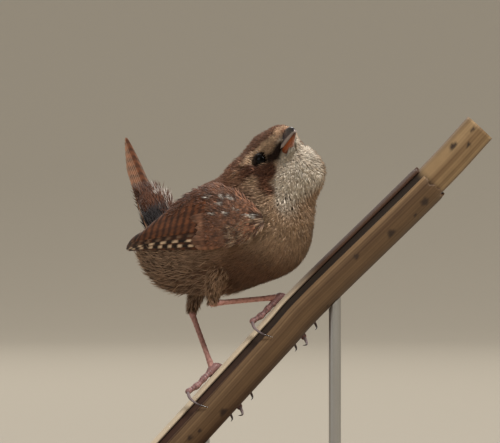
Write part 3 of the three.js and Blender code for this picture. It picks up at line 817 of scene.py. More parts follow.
def grow(
    name: str,
    roots: Roots,
    coat: Coat,
    shade: Shade,
    rng: Random,
    material: Material,
    slot: str = "plumage",
    form: Form | None = BIRD,
    length_scale: Array | float = 1.0,
) -> None:
    """Grows closed blades from roots: a lozenge section, wide at the middle, drawn to a point.

    Each blade's centre line starts on the skin, follows the lie of the coat, is held at a height over
    the form that rises to the tip, and its section is four points: two edges, a crest and a keel.

    Args:
        name: the piece's name.
        roots: where they grow.
        coat: their sizes and stance.
        shade: colours from centre points, share along the blade and a random number per blade.
        rng: the seeded generator.
        material: the piece's finish.
        slot: not used; it is only handed on to Build.finish.
        form: the form they lie along, or None for straight blades.
        length_scale: scales each blade's length and width.
    """
    count = len(roots.points)
    share = np.array(coat.stations)
    chance = rng.random(count)
    length = within(coat.length, rng.random(count)) * length_scale
    width = within(coat.width, rng.random(count)) * np.sqrt(length_scale)
    yaw = rng.normal(0.0, coat.wander, count)[:, None]
    side = np.cross(roots.outward, roots.flow)
    leader, inward = gather_tufts(roots.points, max(1, count // coat.tuft))
    way = roots.flow * np.cos(yaw) + side * np.sin(yaw)
    way = unit(way + inward * (coat.gather / np.maximum(length, 0.3))[:, None])
    chance = TUFT_TONE * chance[leader] + (1.0 - TUFT_TONE) * chance
    tip = within(coat.tip_height, rng.random(count))[:, None]
    centre = roots.points[:, None] + way[:, None] * length[:, None, None] * share[None, :, None]
    if form is None:
        up = np.broadcast_to(roots.outward[:, None], centre.shape)
        centre = centre + up * (share**1.3 * (tip + 0.6))[..., None]
    else:
        base = form.distance(roots.points)[:, None]
        centre = form.settle(centre, base + (tip - base) * share**0.8)
        up = form.outward(centre)
    along = unit(np.gradient(centre, axis=1))
    across = unit(np.cross(up, along)) * (width[:, None, None] / 2)
    profile = np.array(coat.profile)[None, :, None]
    body = centre[:, :-1]
    across, lift = across[:, :-1] * profile, up[:, :-1] * coat.thick / 2
    ring = np.stack([body - across - lift * 0.5, body + lift, body + across - lift * 0.5, body - lift], 2)
    steps = len(share) - 1
    points = np.concatenate([ring.reshape(count, steps * 4, 3), centre[:, -1:]], 1)
    colour = shade(centre, np.broadcast_to(share, centre.shape[:2]), chance[:, None])
    colour = np.concatenate([np.repeat(colour[:, :-1], 4, 1), colour[:, -1:]], 1)
    spot = np.concatenate([np.repeat(share[:-1], 4), share[-1:]])
    turn = np.r_[np.tile(np.arange(4) / 3.0, steps), 0.5]
    patch = np.stack([turn, spot], -1) * PATCH
    build = Build()
    build.add(points, lozenge_faces(count, steps), colour, roots.uv[:, None] + patch[None])
    build.finish(name, material, slot)


class NodeTree:
    """A material's nodes in the making."""

    def __init__(self, name: str) -> None:
        """Starts a material that has one shader."""
        self.material = bpy.data.materials.new(name)
        self.material.use_nodes = True
        self.tree = self.material.node_tree
        self.shader = self.tree.nodes["Principled BSDF"]

    @staticmethod
    def set(node: bpy.types.Node, **values: float | tuple[float, ...]) -> None:
        """Sets a node's inputs by name, with an underscore for each space."""
        for name, value in values.items():
            node.inputs[name.replace("_", " ")].default_value = value

    def add(self, kind: str, **values: float | tuple[float, ...]) -> bpy.types.Node:
        """Adds a node of a kind and sets its inputs."""
        node = self.tree.nodes.new(f"ShaderNode{kind}")
        self.set(node, **values)
        return node

    def link(self, source: bpy.types.Node, out: str, target: bpy.types.Node, into: str | int) -> None:
        """Joins a node's output to another's input."""
        self.tree.links.new(source.outputs[out], target.inputs[into])

    def grain(self, stretch: Triple | None = None, **values: float) -> bpy.types.Node:
        """Adds noise over the object's own coordinates, stretched by a scale for each axis if given."""
        place = self.add("TexCoord")
        noise = self.add("TexNoise", **values)
        if stretch is None:
            self.link(place, "Object", noise, "Vector")
            return noise
        mapping = self.add("Mapping", Scale=stretch)
        self.link(place, "Object", mapping, "Vector")
        self.link(mapping, "Vector", noise, "Vector")
        return noise

    def relief(self, noise: bpy.types.Node, strength: float, depth: float) -> None:
        """Lets the noise raise and lower the surface by a small depth in metres."""
        bump = self.add("Bump", Strength=strength, Distance=depth)
        self.link(noise, "Fac", bump, "Height")
        self.link(bump, "Normal", self.shader, "Normal")

    def spread(self, noise: bpy.types.Node, low: float, high: float) -> bpy.types.Node:
        """Adds the noise's value brought between two limits."""
        limits = self.add("MapRange", To_Min=low, To_Max=high)
        self.link(noise, "Fac", limits, "Value")
        return limits


@dataclass(frozen=True)
class Finish:
    """A coloured finish that reads the markings attribute, broken up by fine noise."""

    name: str
    roughness: float = 0.8
    sheen: float = 0.03
    specular: float = 0.18
    grain: float = 0.12
    grain_scale: float = 900.0
    bump: float = 0.12
    coat: float = 0.0

    def material(self) -> Material:
        """Builds the material: attribute colour times noise, with a small bump."""
        nodes = NodeTree(self.name)
        nodes.set(nodes.shader, Roughness=self.roughness, Specular_IOR_Level=self.specular)
        nodes.set(nodes.shader, Sheen_Weight=self.sheen, Coat_Weight=self.coat, Coat_Roughness=0.05)
        markings = nodes.add("Attribute")
        markings.attribute_name = MARKINGS
        noise = nodes.grain(Scale=self.grain_scale, Detail=3.0)
        spread = nodes.spread(noise, 1.0 - self.grain, 1.0 + self.grain)
        tint = nodes.add("VectorMath")
        tint.operation = "SCALE"
        nodes.link(markings, "Color", tint, 0)
        nodes.link(spread, "Result", tint, "Scale")
        nodes.link(tint, "Vector", nodes.shader, "Base Color")
        nodes.relief(noise, self.bump, 0.0002)
        return nodes.material


@dataclass
class Plumage:
    """The skin and the coat of head, neck and trunk."""

    seed: int = 11
    rings: int = 150
    caps: int = 26
    sides: int = 132
    face_barbs: int = 13200
    chin_barbs: int = 420
    chin_start: float = 3.6
    chin_run: float = 5.2
    chin_length: float = 11.8
    chin_width: float = 2.3
    quill: Finish = Finish("feather_barbs")
    bare: Finish = Finish("skin_under_down", sheen=0.0, roughness=0.9)

    def build(self) -> None:
        """Makes the skin, then each stand of barbs over it."""
        feather = self.quill.material()
        grid = swept_skin(self.rings, self.caps, self.sides)
        build = Build()
        points, faces = tube(grid)
        rows, columns = grid.shape[:2]
        v, u = crossed(np.linspace(0, 1, rows), np.linspace(0, 1, columns))
        uv = np.vstack([np.stack([u, v], -1).reshape(-1, 2), [0.5, 0.0], [0.5, 1.0]])
        build.add(points, faces, plumage(points) * 0.55, uv)
        skin = build.finish("skin", self.bare.material(), "plumage")
        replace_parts(skin, "head", "neck", "trunk")
        self.head(grid, feather)
        self.chin(feather)
        self.body(grid, feather)

    def roots(self, grid: Array, weight: Array, count: int, rng: Random) -> Roots:
        """Random roots on the skin with its directions and the lie of the coat."""
        points, uv = scatter(grid, weight, count, rng)
        outward = BIRD.outward(points)
        return Roots(points, outward, feather_flow(points, outward), uv)

    @staticmethod
    def clear_of_eyes(roots: Roots, length: Array) -> Array:
        """True for roots whose blades pass beside both eyes and the bill's base, not over them."""
        gap = 0.08
        clear = np.ones(len(roots.points), bool)
        for sign in (-1.0, 1.0):
            eye = HEAD.place(EYE_AT * np.array([1, sign, 1]))
            for share in (0.0, 0.5, 1.0):
                reach = roots.points + roots.flow * (length * share)[:, None]
                clear &= size_of(reach - eye) > EYE_RADIUS + gap
        start, low, high = 3.8, -2.5, 0.9
        ahead, beside, above = HEAD.local(roots.points).T
        half_width = 2.6 - 0.2 * (ahead - 3.2)
        bill = (ahead > start) & (np.abs(beside) < half_width) & (above > low) & (above < high)
        return clear & ~bill

    def head(self, grid: Array, feather: Material) -> None:
        """Short barbs on the face that lengthen towards the nape and throat."""
        rng = np.random.default_rng(self.seed)
        place = HEAD.local(grid)
        bill_root = np.array([7.0, 0.0, 0.0])
        reach = size_of(place - bill_root)
        near = ramp(15.5, 13.0, size_of(place - HEAD_MIDDLE))
        weight = near * (0.6 + 2.4 * ramp(14.0, 2.0, reach))
        for number, name in enumerate(("head_barbs", "head_tips")):
            stance = (-0.3, 0.1 + 0.35 * number)
            wander = 0.22 + 0.1 * number
            coat = Coat((1.7, 2.9), (0.2, 0.36), stance, wander, thick=0.06, tuft=6)
            roots = self.roots(grid, weight, self.face_barbs, rng)
            away = size_of(HEAD.local(roots.points) - bill_root)
            scale = 0.28 + 0.92 * ramp(2.0, 13.0, away)
            clear = self.clear_of_eyes(roots, scale * coat.length[1])
            tone = 1.0 + 0.12 * number

            def shade(centre: Array, share: Array, chance: Array, tone: float = tone) -> Array:
                """Markings at the blade's own place, lighter to the tip and uneven from blade to blade."""
                return lit(plumage(centre), share, chance, (0.5 * tone, 0.66 * tone), (0.62, 0.76))

            grow(name, roots.keep(clear), coat, shade, rng, feather, length_scale=scale[clear])

    def chin(self, feather: Material) -> None:
        """Pale barbs that run back from the lower mandible's underside to the throat."""
        rng = np.random.default_rng(self.seed + 2)
        count = self.chin_barbs
        x = self.chin_start + self.chin_run * rng.random(count) ** 1.4
        y = -0.5 + (self.chin_width - 0.25 * (x - self.chin_start)) * rng.random(count)
        share = (x - self.chin_start) / self.chin_length
        bulge = np.sqrt(np.clip(1 - (y / self.chin_width) ** 2, 0, 1))
        z = -1.25 - 0.5 * share**2 - (1.2 * (1 - share**2) + 0.1) * bulge
        points = HEAD.place(np.stack([x, y, z + 0.12], -1))
        down = np.broadcast_to(unit(HEAD.rows[1] * 0.35 - HEAD.rows[2]), points.shape)
        back = unit(-HEAD.rows[0] - 0.35 * HEAD.rows[2])
        roots = Roots(points, down, np.broadcast_to(back, points.shape), np.full((count, 2), 0.9))
        coat = Coat((1.8, 3.0), (0.22, 0.36), (-0.35, 0.0), 0.25, tuft=5)

        def shade(centre: Array, share: Array, chance: Array) -> Array:
            """The throat's pale tone."""
            return lit(PALETTE.throat, share, chance, (0.5, 0.5), (0.6, 0.6))

        grow("chin_barbs", roots, coat, shade, rng, feather, form=None)

    def body(self, grid: Array, feather: Material) -> None:
        """Barbs on breast, belly, flanks and back, longest and loosest on the flanks and vent."""
        rng = np.random.default_rng(self.seed + 1)
        place = BODY.local(grid)
        ahead, beside, above = place[..., 0], place[..., 1], place[..., 2]
        off_head = ramp(12.0, 14.5, size_of(HEAD.local(grid) - HEAD_MIDDLE))
        front = ramp(1.0, 5.0, ahead) * off_head
        right, left = ramp(1.0, -2.0, beside), ramp(-1.0, 2.0, beside)
        low = ramp(5.5, 1.0, above)
        rear = ramp(5.0, 1.0, ahead)
        top = ramp(2.0, 5.0, above) * rear
        sides = rear * low
        breast_coat = Coat((2.4, 4.4), (0.2, 0.42), (-0.4, 0.2), 0.2, tuft=12)
        flank_coat = Coat((3.2, 5.6), (0.2, 0.46), (-0.5, 0.35), 0.22, tuft=14)
        strands = Coat((5.0, 9.0), (0.22, 0.38), (-0.1, 0.8), 0.32, tuft=4)
        wisps = Coat((3.4, 6.0), (0.26, 0.5), (0.1, 1.3), 0.4, tuft=7)
        back_coat = Coat((2.6, 4.6), (0.3, 0.6), (-0.5, 0.1), 0.2, tuft=14)
        stands = (
            ("breast_barbs_right", front * right, 13000, breast_coat, 0.0),
            ("breast_barbs_left", front * left, 9600, breast_coat, 0.0),
            ("flank_barbs_right", sides * right, 12600, flank_coat, 0.0),
            ("flank_barbs_left", sides * left, 9600, flank_coat, 0.0),
            ("flank_strands", sides * ramp(-16.0, -9.0, ahead), 1700, strands, 0.75),
            ("vent_wisps", ramp(-11.0, -17.0, ahead) * low, 1100, wisps, 0.5),
            ("back_barbs", top, 9000, back_coat, 0.0),
        )
        for name, weight, count, coat, pale in stands:
            roots = self.roots(grid, weight + LEAST_WEIGHT, count, rng)

            def shade(centre: Array, share: Array, chance: Array, pale: float = pale) -> Array:
                """Markings at the blade's own place, lighter to the tip, with some pale and dark blades."""
                colour = mix(plumage(centre), PALETTE.flank, pale * share)
                return lit(colour, share, chance, (0.45, 0.72), (0.55, 0.9))

            grow(name, roots, coat, shade, rng, feather)


@dataclass(frozen=True)
class Vane:
    """One flight feather or covert on a folded wing, in the wing's side view.

    Places are millimetres forward and up of the trunk's centre. layer is its height over the bed,
    hang is 1 if root and tip mark its lower edge and 0 if they mark its shaft, taper narrows it
    towards the tip, and pitch, start and mark set out its spots.
    """

    root: Pair
    tip: Pair
    width: float
    layer: float
    hang: float = 0.0
    taper: float = 0.0
    pitch: float = 2.3
    start: float = 0.0
    mark: float = 1.0


class Web(Enum):
    """How a vane is marked."""

    PRIMARY = "dark with pale spots along the outer edge"
    SECONDARY = "rufous with dark bars"
    COVERT = "brown with a dark bar and a light tip"
    SPOTTED = "brown with a small white tip spot"


WING_LOWER = (
    (18.0, -2.0), (14.5, -4.4), (10.8, -4.7), (1.0, -3.1), (-8.2, -0.9), (-18.8, 2.3), (-26.2, 4.9),
)
WING_UPPER = (
    (18.0, -0.6), (14.0, 4.6), (8.0, 9.6), (2.0, 10.8),
    (-4.5, 10.2), (-11.4, 8.0), (-18.0, 6.8), (-26.2, 5.7),
)
WING_DOTS = (
    (8.4, 7.4), (10.8, 6.4), (7.6, 6.0), (4.2, 8.8), (12.2, 2.8),
    (14.6, 0.6), (15.8, 0.0), (5.2, 4.2), (9.0, 3.0),
)


def wing_marks(points: Array) -> Array:
    """Markings of the small coverts: mottled browns, white dots, and a cream and dark leading edge."""
    body = BODY.local(points)
    a, b = body[..., 0], body[..., 2]
    colour = mix(PALETTE.mantle, PALETTE.rufous, ramp(10.0, -2.0, a))
    colour = mix(colour, PALETTE.bar, ramp(-0.1, 0.5, mottle(points, 2.1, 7.0)) * 0.65)
    front = ramp(0.6, -0.8, b - 0.1 * (a - 12.0)) * ramp(6.0, 8.5, a)
    patches = ramp(-0.25, 0.2, mottle(points, 1.9, 3.0))
    colour = mix(colour, mix(PALETTE.bar, PALETTE.brow * 0.7, patches), front * 0.8)
    for dot in WING_DOTS:
        reach = np.hypot(a - dot[0], b - dot[1])
        behind = np.hypot(a - dot[0] - 0.5, b - dot[1])
        colour = mix(colour, PALETTE.bar * 0.6, ramp(1.2, 0.7, behind) * 0.7)
        colour = mix(colour, PALETTE.white, ramp(0.62, 0.4, reach))
    return colour


@dataclass
class Wing:
    """A folded wing: its arm, primaries, secondaries, rows of coverts and the down of its shoulder.

    A covert row gives its share along the wing, its feathers' length, their count and their width. A
    primary gives its root, its tip, and its spots' pitch, start and strength.
    """

    sign: float
    name: str
    seed: int
    feather: Material
    gap: float = 0.25
    thick: float = 0.07
    down_count: int = 4600
    secondaries: int = 8
    covert_rows: tuple[tuple[float, float, int, float], ...] = (
        (0.25, 9.0, 12, 1.9),
        (0.20, 7.0, 13, 1.7),
        (0.14, 5.6, 13, 1.6),
        (0.10, 4.4, 12, 1.5),
    )
    primaries: tuple = (
        ((2.0, -4.0), (-25.2, 4.2), 3.4, 1.8, 0.0),
        ((2.0, -3.4), (-25.7, 4.5), 3.4, 1.85, 1.0),
        ((2.0, -1.9), (-26.2, 4.8), 4.2, 1.45, 1.0),
        ((2.0, -0.6), (-26.4, 5.0), 3.6, 1.0, 0.16),
        ((1.5, 0.6), (-25.6, 5.3), 3.4, 0.4, 0.12),
        ((1.0, 1.8), (-24.2, 5.6), 3.4, 0.0, 0.1),
    )

    def bed(self, place: Array, height: Array | float) -> Array:
        """Points over the bed that the wing lies on, at places in its side view."""
        start = BODY.place(np.stack([place[..., 0], 0 * place[..., 0], place[..., 1]], -1))
        ray = np.broadcast_to(BODY.rows[1] * self.sign, start.shape)
        hit = WING_BED.leave(start, ray, lambda p: np.zeros(p.shape[:-1]))
        return hit + WING_BED.outward(hit) * (np.asarray(height) + self.gap)[..., None]

    def edge(self, points: Sequence[Sequence[float]], share: Array) -> Array:
        """Points of an edge curve at shares of its length."""
        corners = 60
        return read_path(share, np.linspace(0, 1, corners), curve_points(points, corners))

    def between(self, along: Array, up: Array) -> Array:
        """Places in the side view from shares along the wing and from its lower to its upper edge."""
        low, high = self.edge(WING_LOWER, along), self.edge(WING_UPPER, along)
        return low + (high - low) * np.asarray(up)[..., None]

    def lay(self, build: Build, vane: Vane, web: Web, chance: float) -> None:
        """Adds a vane: a grid along and across its length, cambered, with a rounded tip.

        The half width swells as 0.35 + 0.65 sqrt(s / 0.3), narrows from the middle on by the taper
        and closes as a quarter ellipse over the last fifth.

        Args:
            build: the mesh to add to.
            vane: its place and size.
            web: its markings.
            chance: a number from 0 to 1 that varies its tone.
        """
        rows, columns = (44, 9) if web in (Web.PRIMARY, Web.SECONDARY) else (10, 5)
        s = np.linspace(0, 1, rows)[:, None]
        w = np.linspace(-1, 1, columns)[None, :]
        root, tip = np.array(vane.root), np.array(vane.tip)
        way = tip - root
        length = float(np.linalg.norm(way))
        across = np.array([way[1], -way[0]]) / length
        swell = 0.35 + 0.65 * np.sqrt(np.clip(s / 0.3, 0, 1))
        narrow = 1 - vane.taper * np.clip((s - 0.4) / 0.6, 0, 1) ** 1.3
        round_off = np.sqrt(np.clip(1 - np.clip((s - 0.8) / 0.2, 0, 1) ** 2, 0.002, 1))
        half = vane.width / 2 * swell * narrow * round_off
        centre = root + way * s[..., None] + across * (half * (w + vane.hang))[..., None]
        height = vane.layer + 0.1 * (1 - w * w) - 0.04 * w
        points, faces = plate(self.bed(centre, height), self.bed(centre, height - self.thick))
        colour = self.web_colour(vane, web, s * length + 0 * w, w + 0 * s, centre, chance)
        uv = 0.5 + 0.02 * centre / 26.0
        build.add(points, faces, both_sides(colour), both_sides(uv))

    def web_colour(self, vane: Vane, web: Web, run: Array, w: Array, centre: Array, chance: float) -> Array:
        """Colours over a vane.

        Args:
            vane: its spots' pitch, start and strength.
            web: the kind of markings.
            run: millimetres from the root.
            w: place across, -1 at the outer edge to 1 at the inner one.
            centre: places in the side view, for blotches.
            chance: varies the tone.

        Returns:
            Linear colours on the vane's grid.
        """
        length = float(run.max())
        spot = np.concatenate([centre, centre[..., :1] * 0.0 + chance * 30.0], -1)
        grain = 1.0 + 0.18 * mottle(spot, 0.9, 1.5) + 0.1 * np.sin(w * 26.0 + run * 2.0 + chance * 9.0)
        bar = bars_along(run - vane.start, vane.pitch, 0.5)
        shaft = np.exp(-((w / 0.12) ** 2)) * 0.45
        if web is Web.PRIMARY:
            base = mix(PALETTE.rufous * 0.42, PALETTE.bar * 0.45, bar * 0.75)
            gapped = bars_along(run - vane.start + 0.8 * w, vane.pitch, 0.64)
            outer = ramp(-0.3, -0.5, w) * ramp(-0.99, -0.84, w) * vane.mark
            colour = mix(base, mix(PALETTE.brow * 0.85, PALETTE.bar * 0.4, gapped), outer)
        elif web is Web.SECONDARY:
            slant = bars_along(0.5 * centre[..., 1] - centre[..., 0] + 0.5 * w, vane.pitch, 0.45)
            colour = mix(PALETTE.rufous * 0.66, PALETTE.bar * 0.55, slant * 0.7)
            colour = mix(colour, PALETTE.rufous * 1.5, ramp(-0.7, -0.92, w) * (1 - slant) * 0.5)
        else:
            bar = bars_along(run + 0.6 + chance, 1.9, 0.45)
            colour = mix(PALETTE.mantle * 0.75, PALETTE.bar, bar * 0.6)
            end = ramp(length * 0.74, length * 0.95, run) * ramp(0.9, 0.2, np.abs(w))
            tip = PALETTE.white if web is Web.SPOTTED else PALETTE.flank
            colour = mix(colour, tip, end * (0.95 if web is Web.SPOTTED else 0.3 * chance))
        colour = mix(colour, PALETTE.bar * 0.6, shaft)
        return colour * grain[..., None] * (0.7 + 0.5 * chance)

    def build(self) -> None:
        """Makes the arm, then the feathers from the inmost layer out."""
        rng = np.random.default_rng(self.seed)
        along, up = crossed(np.linspace(0.02, 0.985, 40), np.linspace(0.03, 0.97, 16))
        place = self.between(along, up)
        crown = np.sin(math.pi * up) ** 0.7 * np.minimum(1, np.minimum((1 - along) * 5, along * 8))
        solid = plate(self.bed(place, 0.1 + 0.15 * crown), self.bed(place, 0.0))
        tone = PALETTE.bar * 0.5
        arm = one_part(f"{self.name}_arm", solid, tone, self.feather, "flight_feathers")
        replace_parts(arm, self.name)
        quills = Build()
        for number, (root, tip, pitch, start, mark) in enumerate(self.primaries):
            vane = Vane(root, tip, 2.7, 0.28 + 0.04 * number, 1.0, 0.6, pitch, start, mark)
            self.lay(quills, vane, Web.PRIMARY, 0.4 + 0.3 * rng.random())
        for number in range(self.secondaries):
            t = number / (self.secondaries - 1)
            root = (4.0, 0.2 + 7.4 * t)
            tip = (-20.5 + 12.0 * t**1.1, 5.0 + 2.6 * t)
            vane = Vane(root, tip, 3.0, 0.52 + 0.035 * number, 1.0, 0.35, 2.3)
            self.lay(quills, vane, Web.SECONDARY, rng.random())
        quills.finish(f"{self.name}_quills", self.feather, "flight_feathers")
        self.coverts(rng)
        self.down(rng)

    def coverts(self, rng: Random) -> None:
        """Makes four rows of coverts, each row lying over the roots of the one behind it."""
        coverts = Build()
        for number, (along, length, count, width) in enumerate(self.covert_rows):
            for k in range(count):
                up = (k + 0.5 + 0.25 * (number % 2)) / (count + 0.25)
                root = self.between(np.array(max(along + rng.normal(0, 0.01), 0.01)), np.array(up))
                ahead = self.between(np.array(along + 0.35), np.array(0.5 + (up - 0.5) * 0.9))
                way = (ahead - root) / np.linalg.norm(ahead - root)
                way = way + np.array([-way[1], way[0]]) * rng.normal(0, 0.07)
                tip = root + way * length * (0.85 + 0.3 * rng.random())
                dotted = min(math.dist(tip, dot) for dot in WING_DOTS) < 1.1
                layer = 0.64 + 0.05 * number + 0.05 * rng.random()
                vane = Vane(tuple(root), tuple(tip), width * 1.3, layer, 0.0, 0.3)
                self.lay(coverts, vane, Web.SPOTTED if dotted else Web.COVERT, rng.random())
        coverts.finish(f"{self.name}_coverts", self.feather, "flight_feathers")

    def down(self, rng: Random) -> None:
        """Makes the soft small feathers of the shoulder and of the wing's upper edge."""
        rows, columns = 44, 20
        along, up = crossed(np.linspace(0.015, 0.7, rows), np.linspace(0.0, 1.0, columns))
        place = self.between(along, up)
        grid = self.bed(place, 0.45)
        shoulder = ramp(0.34, 0.2, along)
        upper = ramp(0.66, 0.92, up) * ramp(0.62, 0.45, along)
        weight = np.maximum(shoulder, upper) + LEAST_WEIGHT
        points, uv = scatter(grid, weight, self.down_count, rng, closed=False)
        way = np.gradient(grid, axis=0)
        near = tuple((uv[:, 1::-1] * (rows - 1, columns - 1)).astype(int).T)
        roots = Roots(points, WING_BED.outward(points), unit(way[near]), 0.45 + uv * 0.08)
        coat = Coat((2.2, 3.6), (0.26, 0.46), (0.85, 1.35), 0.25)

        def shade(centre: Array, share: Array, chance: Array) -> Array:
            """The small coverts' markings, darker at the root."""
            return lit(wing_marks(centre), share, chance, (0.45, 0.7), (0.6, 0.8))

        grow(f"{self.name}_down", roots, coat, shade, rng, self.feather, "flight_feathers", WING_BED)


@dataclass
class TailFan:
    """The cocked tail: a stump under coverts and twelve barred feathers stacked in a narrow fan."""

    feather: Material
    seed: int = 31
    length: float = 28.0
    axis_length: float = 28.5
    feathers: int = 12
    pitch: float = 2.2
    thick: float = 0.09
    coverts_end: float = 0.36
    covert_count: int = 5600
    stations: tuple[float, ...] = (0, 0.12, 0.24, 0.36, 0.48, 0.6)
    widths: tuple[float, ...] = (4.4, 5.0, 5.2, 5.0, 4.6, 3.2)
    depths: tuple[float, ...] = (4.4, 4.6, 4.4, 3.3, 2.0, 0.8)
    setbacks: tuple[float, ...] = (-0.4, -0.9, -1.2, -1.0, -0.6, -0.2)

    def surface(self, share: Array, turn: Array, inset: float) -> Array:
        """The coverts' outline: an ellipse whose size is read along the tail, bowed over its back."""
        wide = np.interp(share, self.stations, self.widths) - inset
        deep = np.interp(share, self.stations, self.depths) - inset
        back = np.interp(share, self.stations, self.setbacks)
        across = np.cos(turn) * wide
        high = np.sin(turn) * np.maximum(deep, 0.15) - 0.7 * np.cos(turn) ** 2 - back
        return TAIL.place(np.stack([share * self.axis_length, across, -high], -1))

    def build(self) -> None:
        """Makes the stump, the coverts' barbs and the tail feathers."""
        rng = np.random.default_rng(self.seed)
        share, turn = crossed(np.linspace(0, 0.52, 26), turns(40))
        rings = self.surface(share, turn, 1.3)
        stump = one_part("tail_stump", tube(rings), PALETTE.rufous * 0.4, self.feather, "plumage")
        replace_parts(stump, "tail")
        self.coverts(rng)
        fan = Build()
        middle = (self.feathers - 1) / 2
        for i in range(self.feathers):
            self.rectrix(fan, (i - middle) / middle, min(i, self.feathers - 1 - i), rng.random())
        fan.finish("tail_feathers", self.feather, "flight_feathers")

    def rectrix(self, build: Build, spread: float, order: int, chance: float) -> None:
        """Adds one tail feather: straight, cambered, barred every 2.2 mm, shorter to the sides.

        Args:
            build: the mesh to add to.
            spread: -1 at the outermost right to 1 at the outermost left.
            order: 0 for the lowest pair to 5 for the middle pair on top.
            chance: varies its tone.
        """
        rows, columns = 40, 7
        s = np.linspace(0, 1, rows)[:, None]
        w = np.linspace(-1, 1, columns)[None, :]
        start, length = 2.0, self.length * (1 - 0.24 * abs(spread) ** 1.4)
        round_off = np.sqrt(np.clip(1 - np.clip((s - 0.86) / 0.14, 0, 1) ** 2, 0.002, 1))
        half = (1.45 - 0.4 * s) * (0.55 + 0.45 * np.clip(s / 0.3, 0, 1)) * round_off
        run = start + (length - start) * s
        across = spread * (4.1 - 1.5 * s) + half * w
        high = 0.05 + 0.075 * order + 0.08 * (1 - w * w) - 0.045 * across**2
        run_grid = run + 0 * w
        top, under = (TAIL.place(np.stack([run_grid, across, -h], -1)) for h in (high, high - self.thick))
        points, faces = plate(top, under)
        bar = bars_along(run + 0.9 * np.abs(w) + chance * 0.3, self.pitch, 0.4)
        colour = mix(PALETTE.rufous * 0.8, PALETTE.bar * 0.7, bar * 0.75)
        colour = mix(colour, PALETTE.bar * 0.5, np.exp(-((w / 0.14) ** 2)) * 0.4)
        colour = mix(colour, PALETTE.brow, ramp(0.75, 0.95, np.abs(w)) * 0.22)
        colour = colour * (0.85 + 0.3 * chance)
        place = np.stack([0.5 + 0.02 * across / 4.0, 0.02 * run_grid / 30.0], -1)
        build.add(points, faces, both_sides(colour), both_sides(place))

    def coverts(self, rng: Random) -> None:
        """Barbs round the tail's root: rufous, with a slate patch and white ended wisps at its edges."""
        start, inset, step = 0.02, 1.0, 0.01
        grid = self.surface(*crossed(np.linspace(start, self.coverts_end, 26), turns(48)), inset)
        coat = Coat((3.4, 6.0), (0.24, 0.5), (-0.5, 0.4), 0.2, thick=0.06, tuft=10)
        points, uv = scatter(grid, np.ones(grid.shape[:2]), self.covert_count, rng)
        turn, share = uv[:, 0] * FULL_TURN, within((start, self.coverts_end), uv[:, 1])
        run = share * self.axis_length
        here = self.surface(share, turn, inset)
        onward = self.surface(share + step, turn, inset) - here
        out = np.cross(self.surface(share, turn + step, inset) - here, onward)
        axis = TAIL.place(np.stack([run, 0 * run, 0 * run], -1))
        out = unit(out) * np.sign(np.sum(out * (points - axis), -1, keepdims=True))
        roots = Roots(points, out, unit(onward), np.stack([uv[:, 0], uv[:, 1] * 0.05], -1))
        flank = np.abs(np.cos(turn))
        slate = (np.exp(-(((run - 2.2) / 2.2) ** 4)) * ramp(0.3, 0.7, flank))[:, None]
        rim = np.maximum(ramp(-0.2, -0.6, np.sin(turn)), ramp(0.8, 0.97, np.sin(turn)) * 0.8)
        rim = (rim * ramp(2.0, 4.0, run))[:, None]

        def shade(centre_line: Array, along: Array, chance: Array) -> Array:
            """Rufous with dark bars, slate near the root, and white ends at the rims."""
            bar = bars_along(along * 5.0, self.pitch, 0.45)
            colour = mix(PALETTE.rufous * 1.2, PALETTE.bar, bar * 0.6)
            colour = mix(colour, PALETTE.slate * (0.7 + 0.9 * along[..., None]), slate + 0 * along)
            white = ramp(0.3, 0.75, along) * ramp(0.5, 0.62, chance) * rim
            return lit(mix(colour, PALETTE.white, white), along, chance, (0.55, 0.5), (0.6, 0.7))

        grow("tail_coverts", roots, coat, shade, rng, self.feather, form=None)


REED_AXIS = (
    (-21.2, 0, 16.1), (-3.05, 0, 35.9), (7, 0, 46.87), (15.1, 0, 55.7), (44.0, 0, 83.9), (56.1, 0, 96.9),
)
REED_CORNERS = 400
GRIP_ORIGIN = np.array([-13.4, 0.0, 24.63])
GRIP_ALONG = unit(np.array([0.6756, 0.0, 0.7373]))
HALLUX = ((-1.0, 16, 6.0), (-2.8, 6, 5.95), (-5.4, -3, 5.95), (-8.2, -11, 6.75))
HALLUX_CLAW = ((-8.3, -12, 6.75), (-9.0, -36, 6.35), (-8.7, -62, 5.9), (-7.6, -86, 5.35))
FRONT_TOES = {
    "inner": ((1.0, 24, 6.0), (2.2, 55, 5.85), (2.6, 92, 5.8), (2.2, 122, 5.85)),
    "middle": ((0.1, 26, 6.0), (0, 68, 5.85), (-1.0, 112, 5.8), (-2.6, 152, 5.95)),
    "outer": ((-0.9, 24, 6.0), (-2.2, 55, 5.85), (-3.6, 90, 5.8), (-5.0, 120, 5.85)),
}


def around_reed(place: Sequence[float], grip: float) -> Array:
    """A point by its run along the reed from the grip, degrees round it and distance from its axis."""
    along, degrees, out = place
    turn = math.radians(degrees)
    upper_side = np.array([-GRIP_ALONG[2], 0.0, GRIP_ALONG[0]])
    start = GRIP_ORIGIN + GRIP_ALONG * (along + grip)
    return start + (upper_side * math.cos(turn) + FAR_SIDE * math.sin(turn)) * out


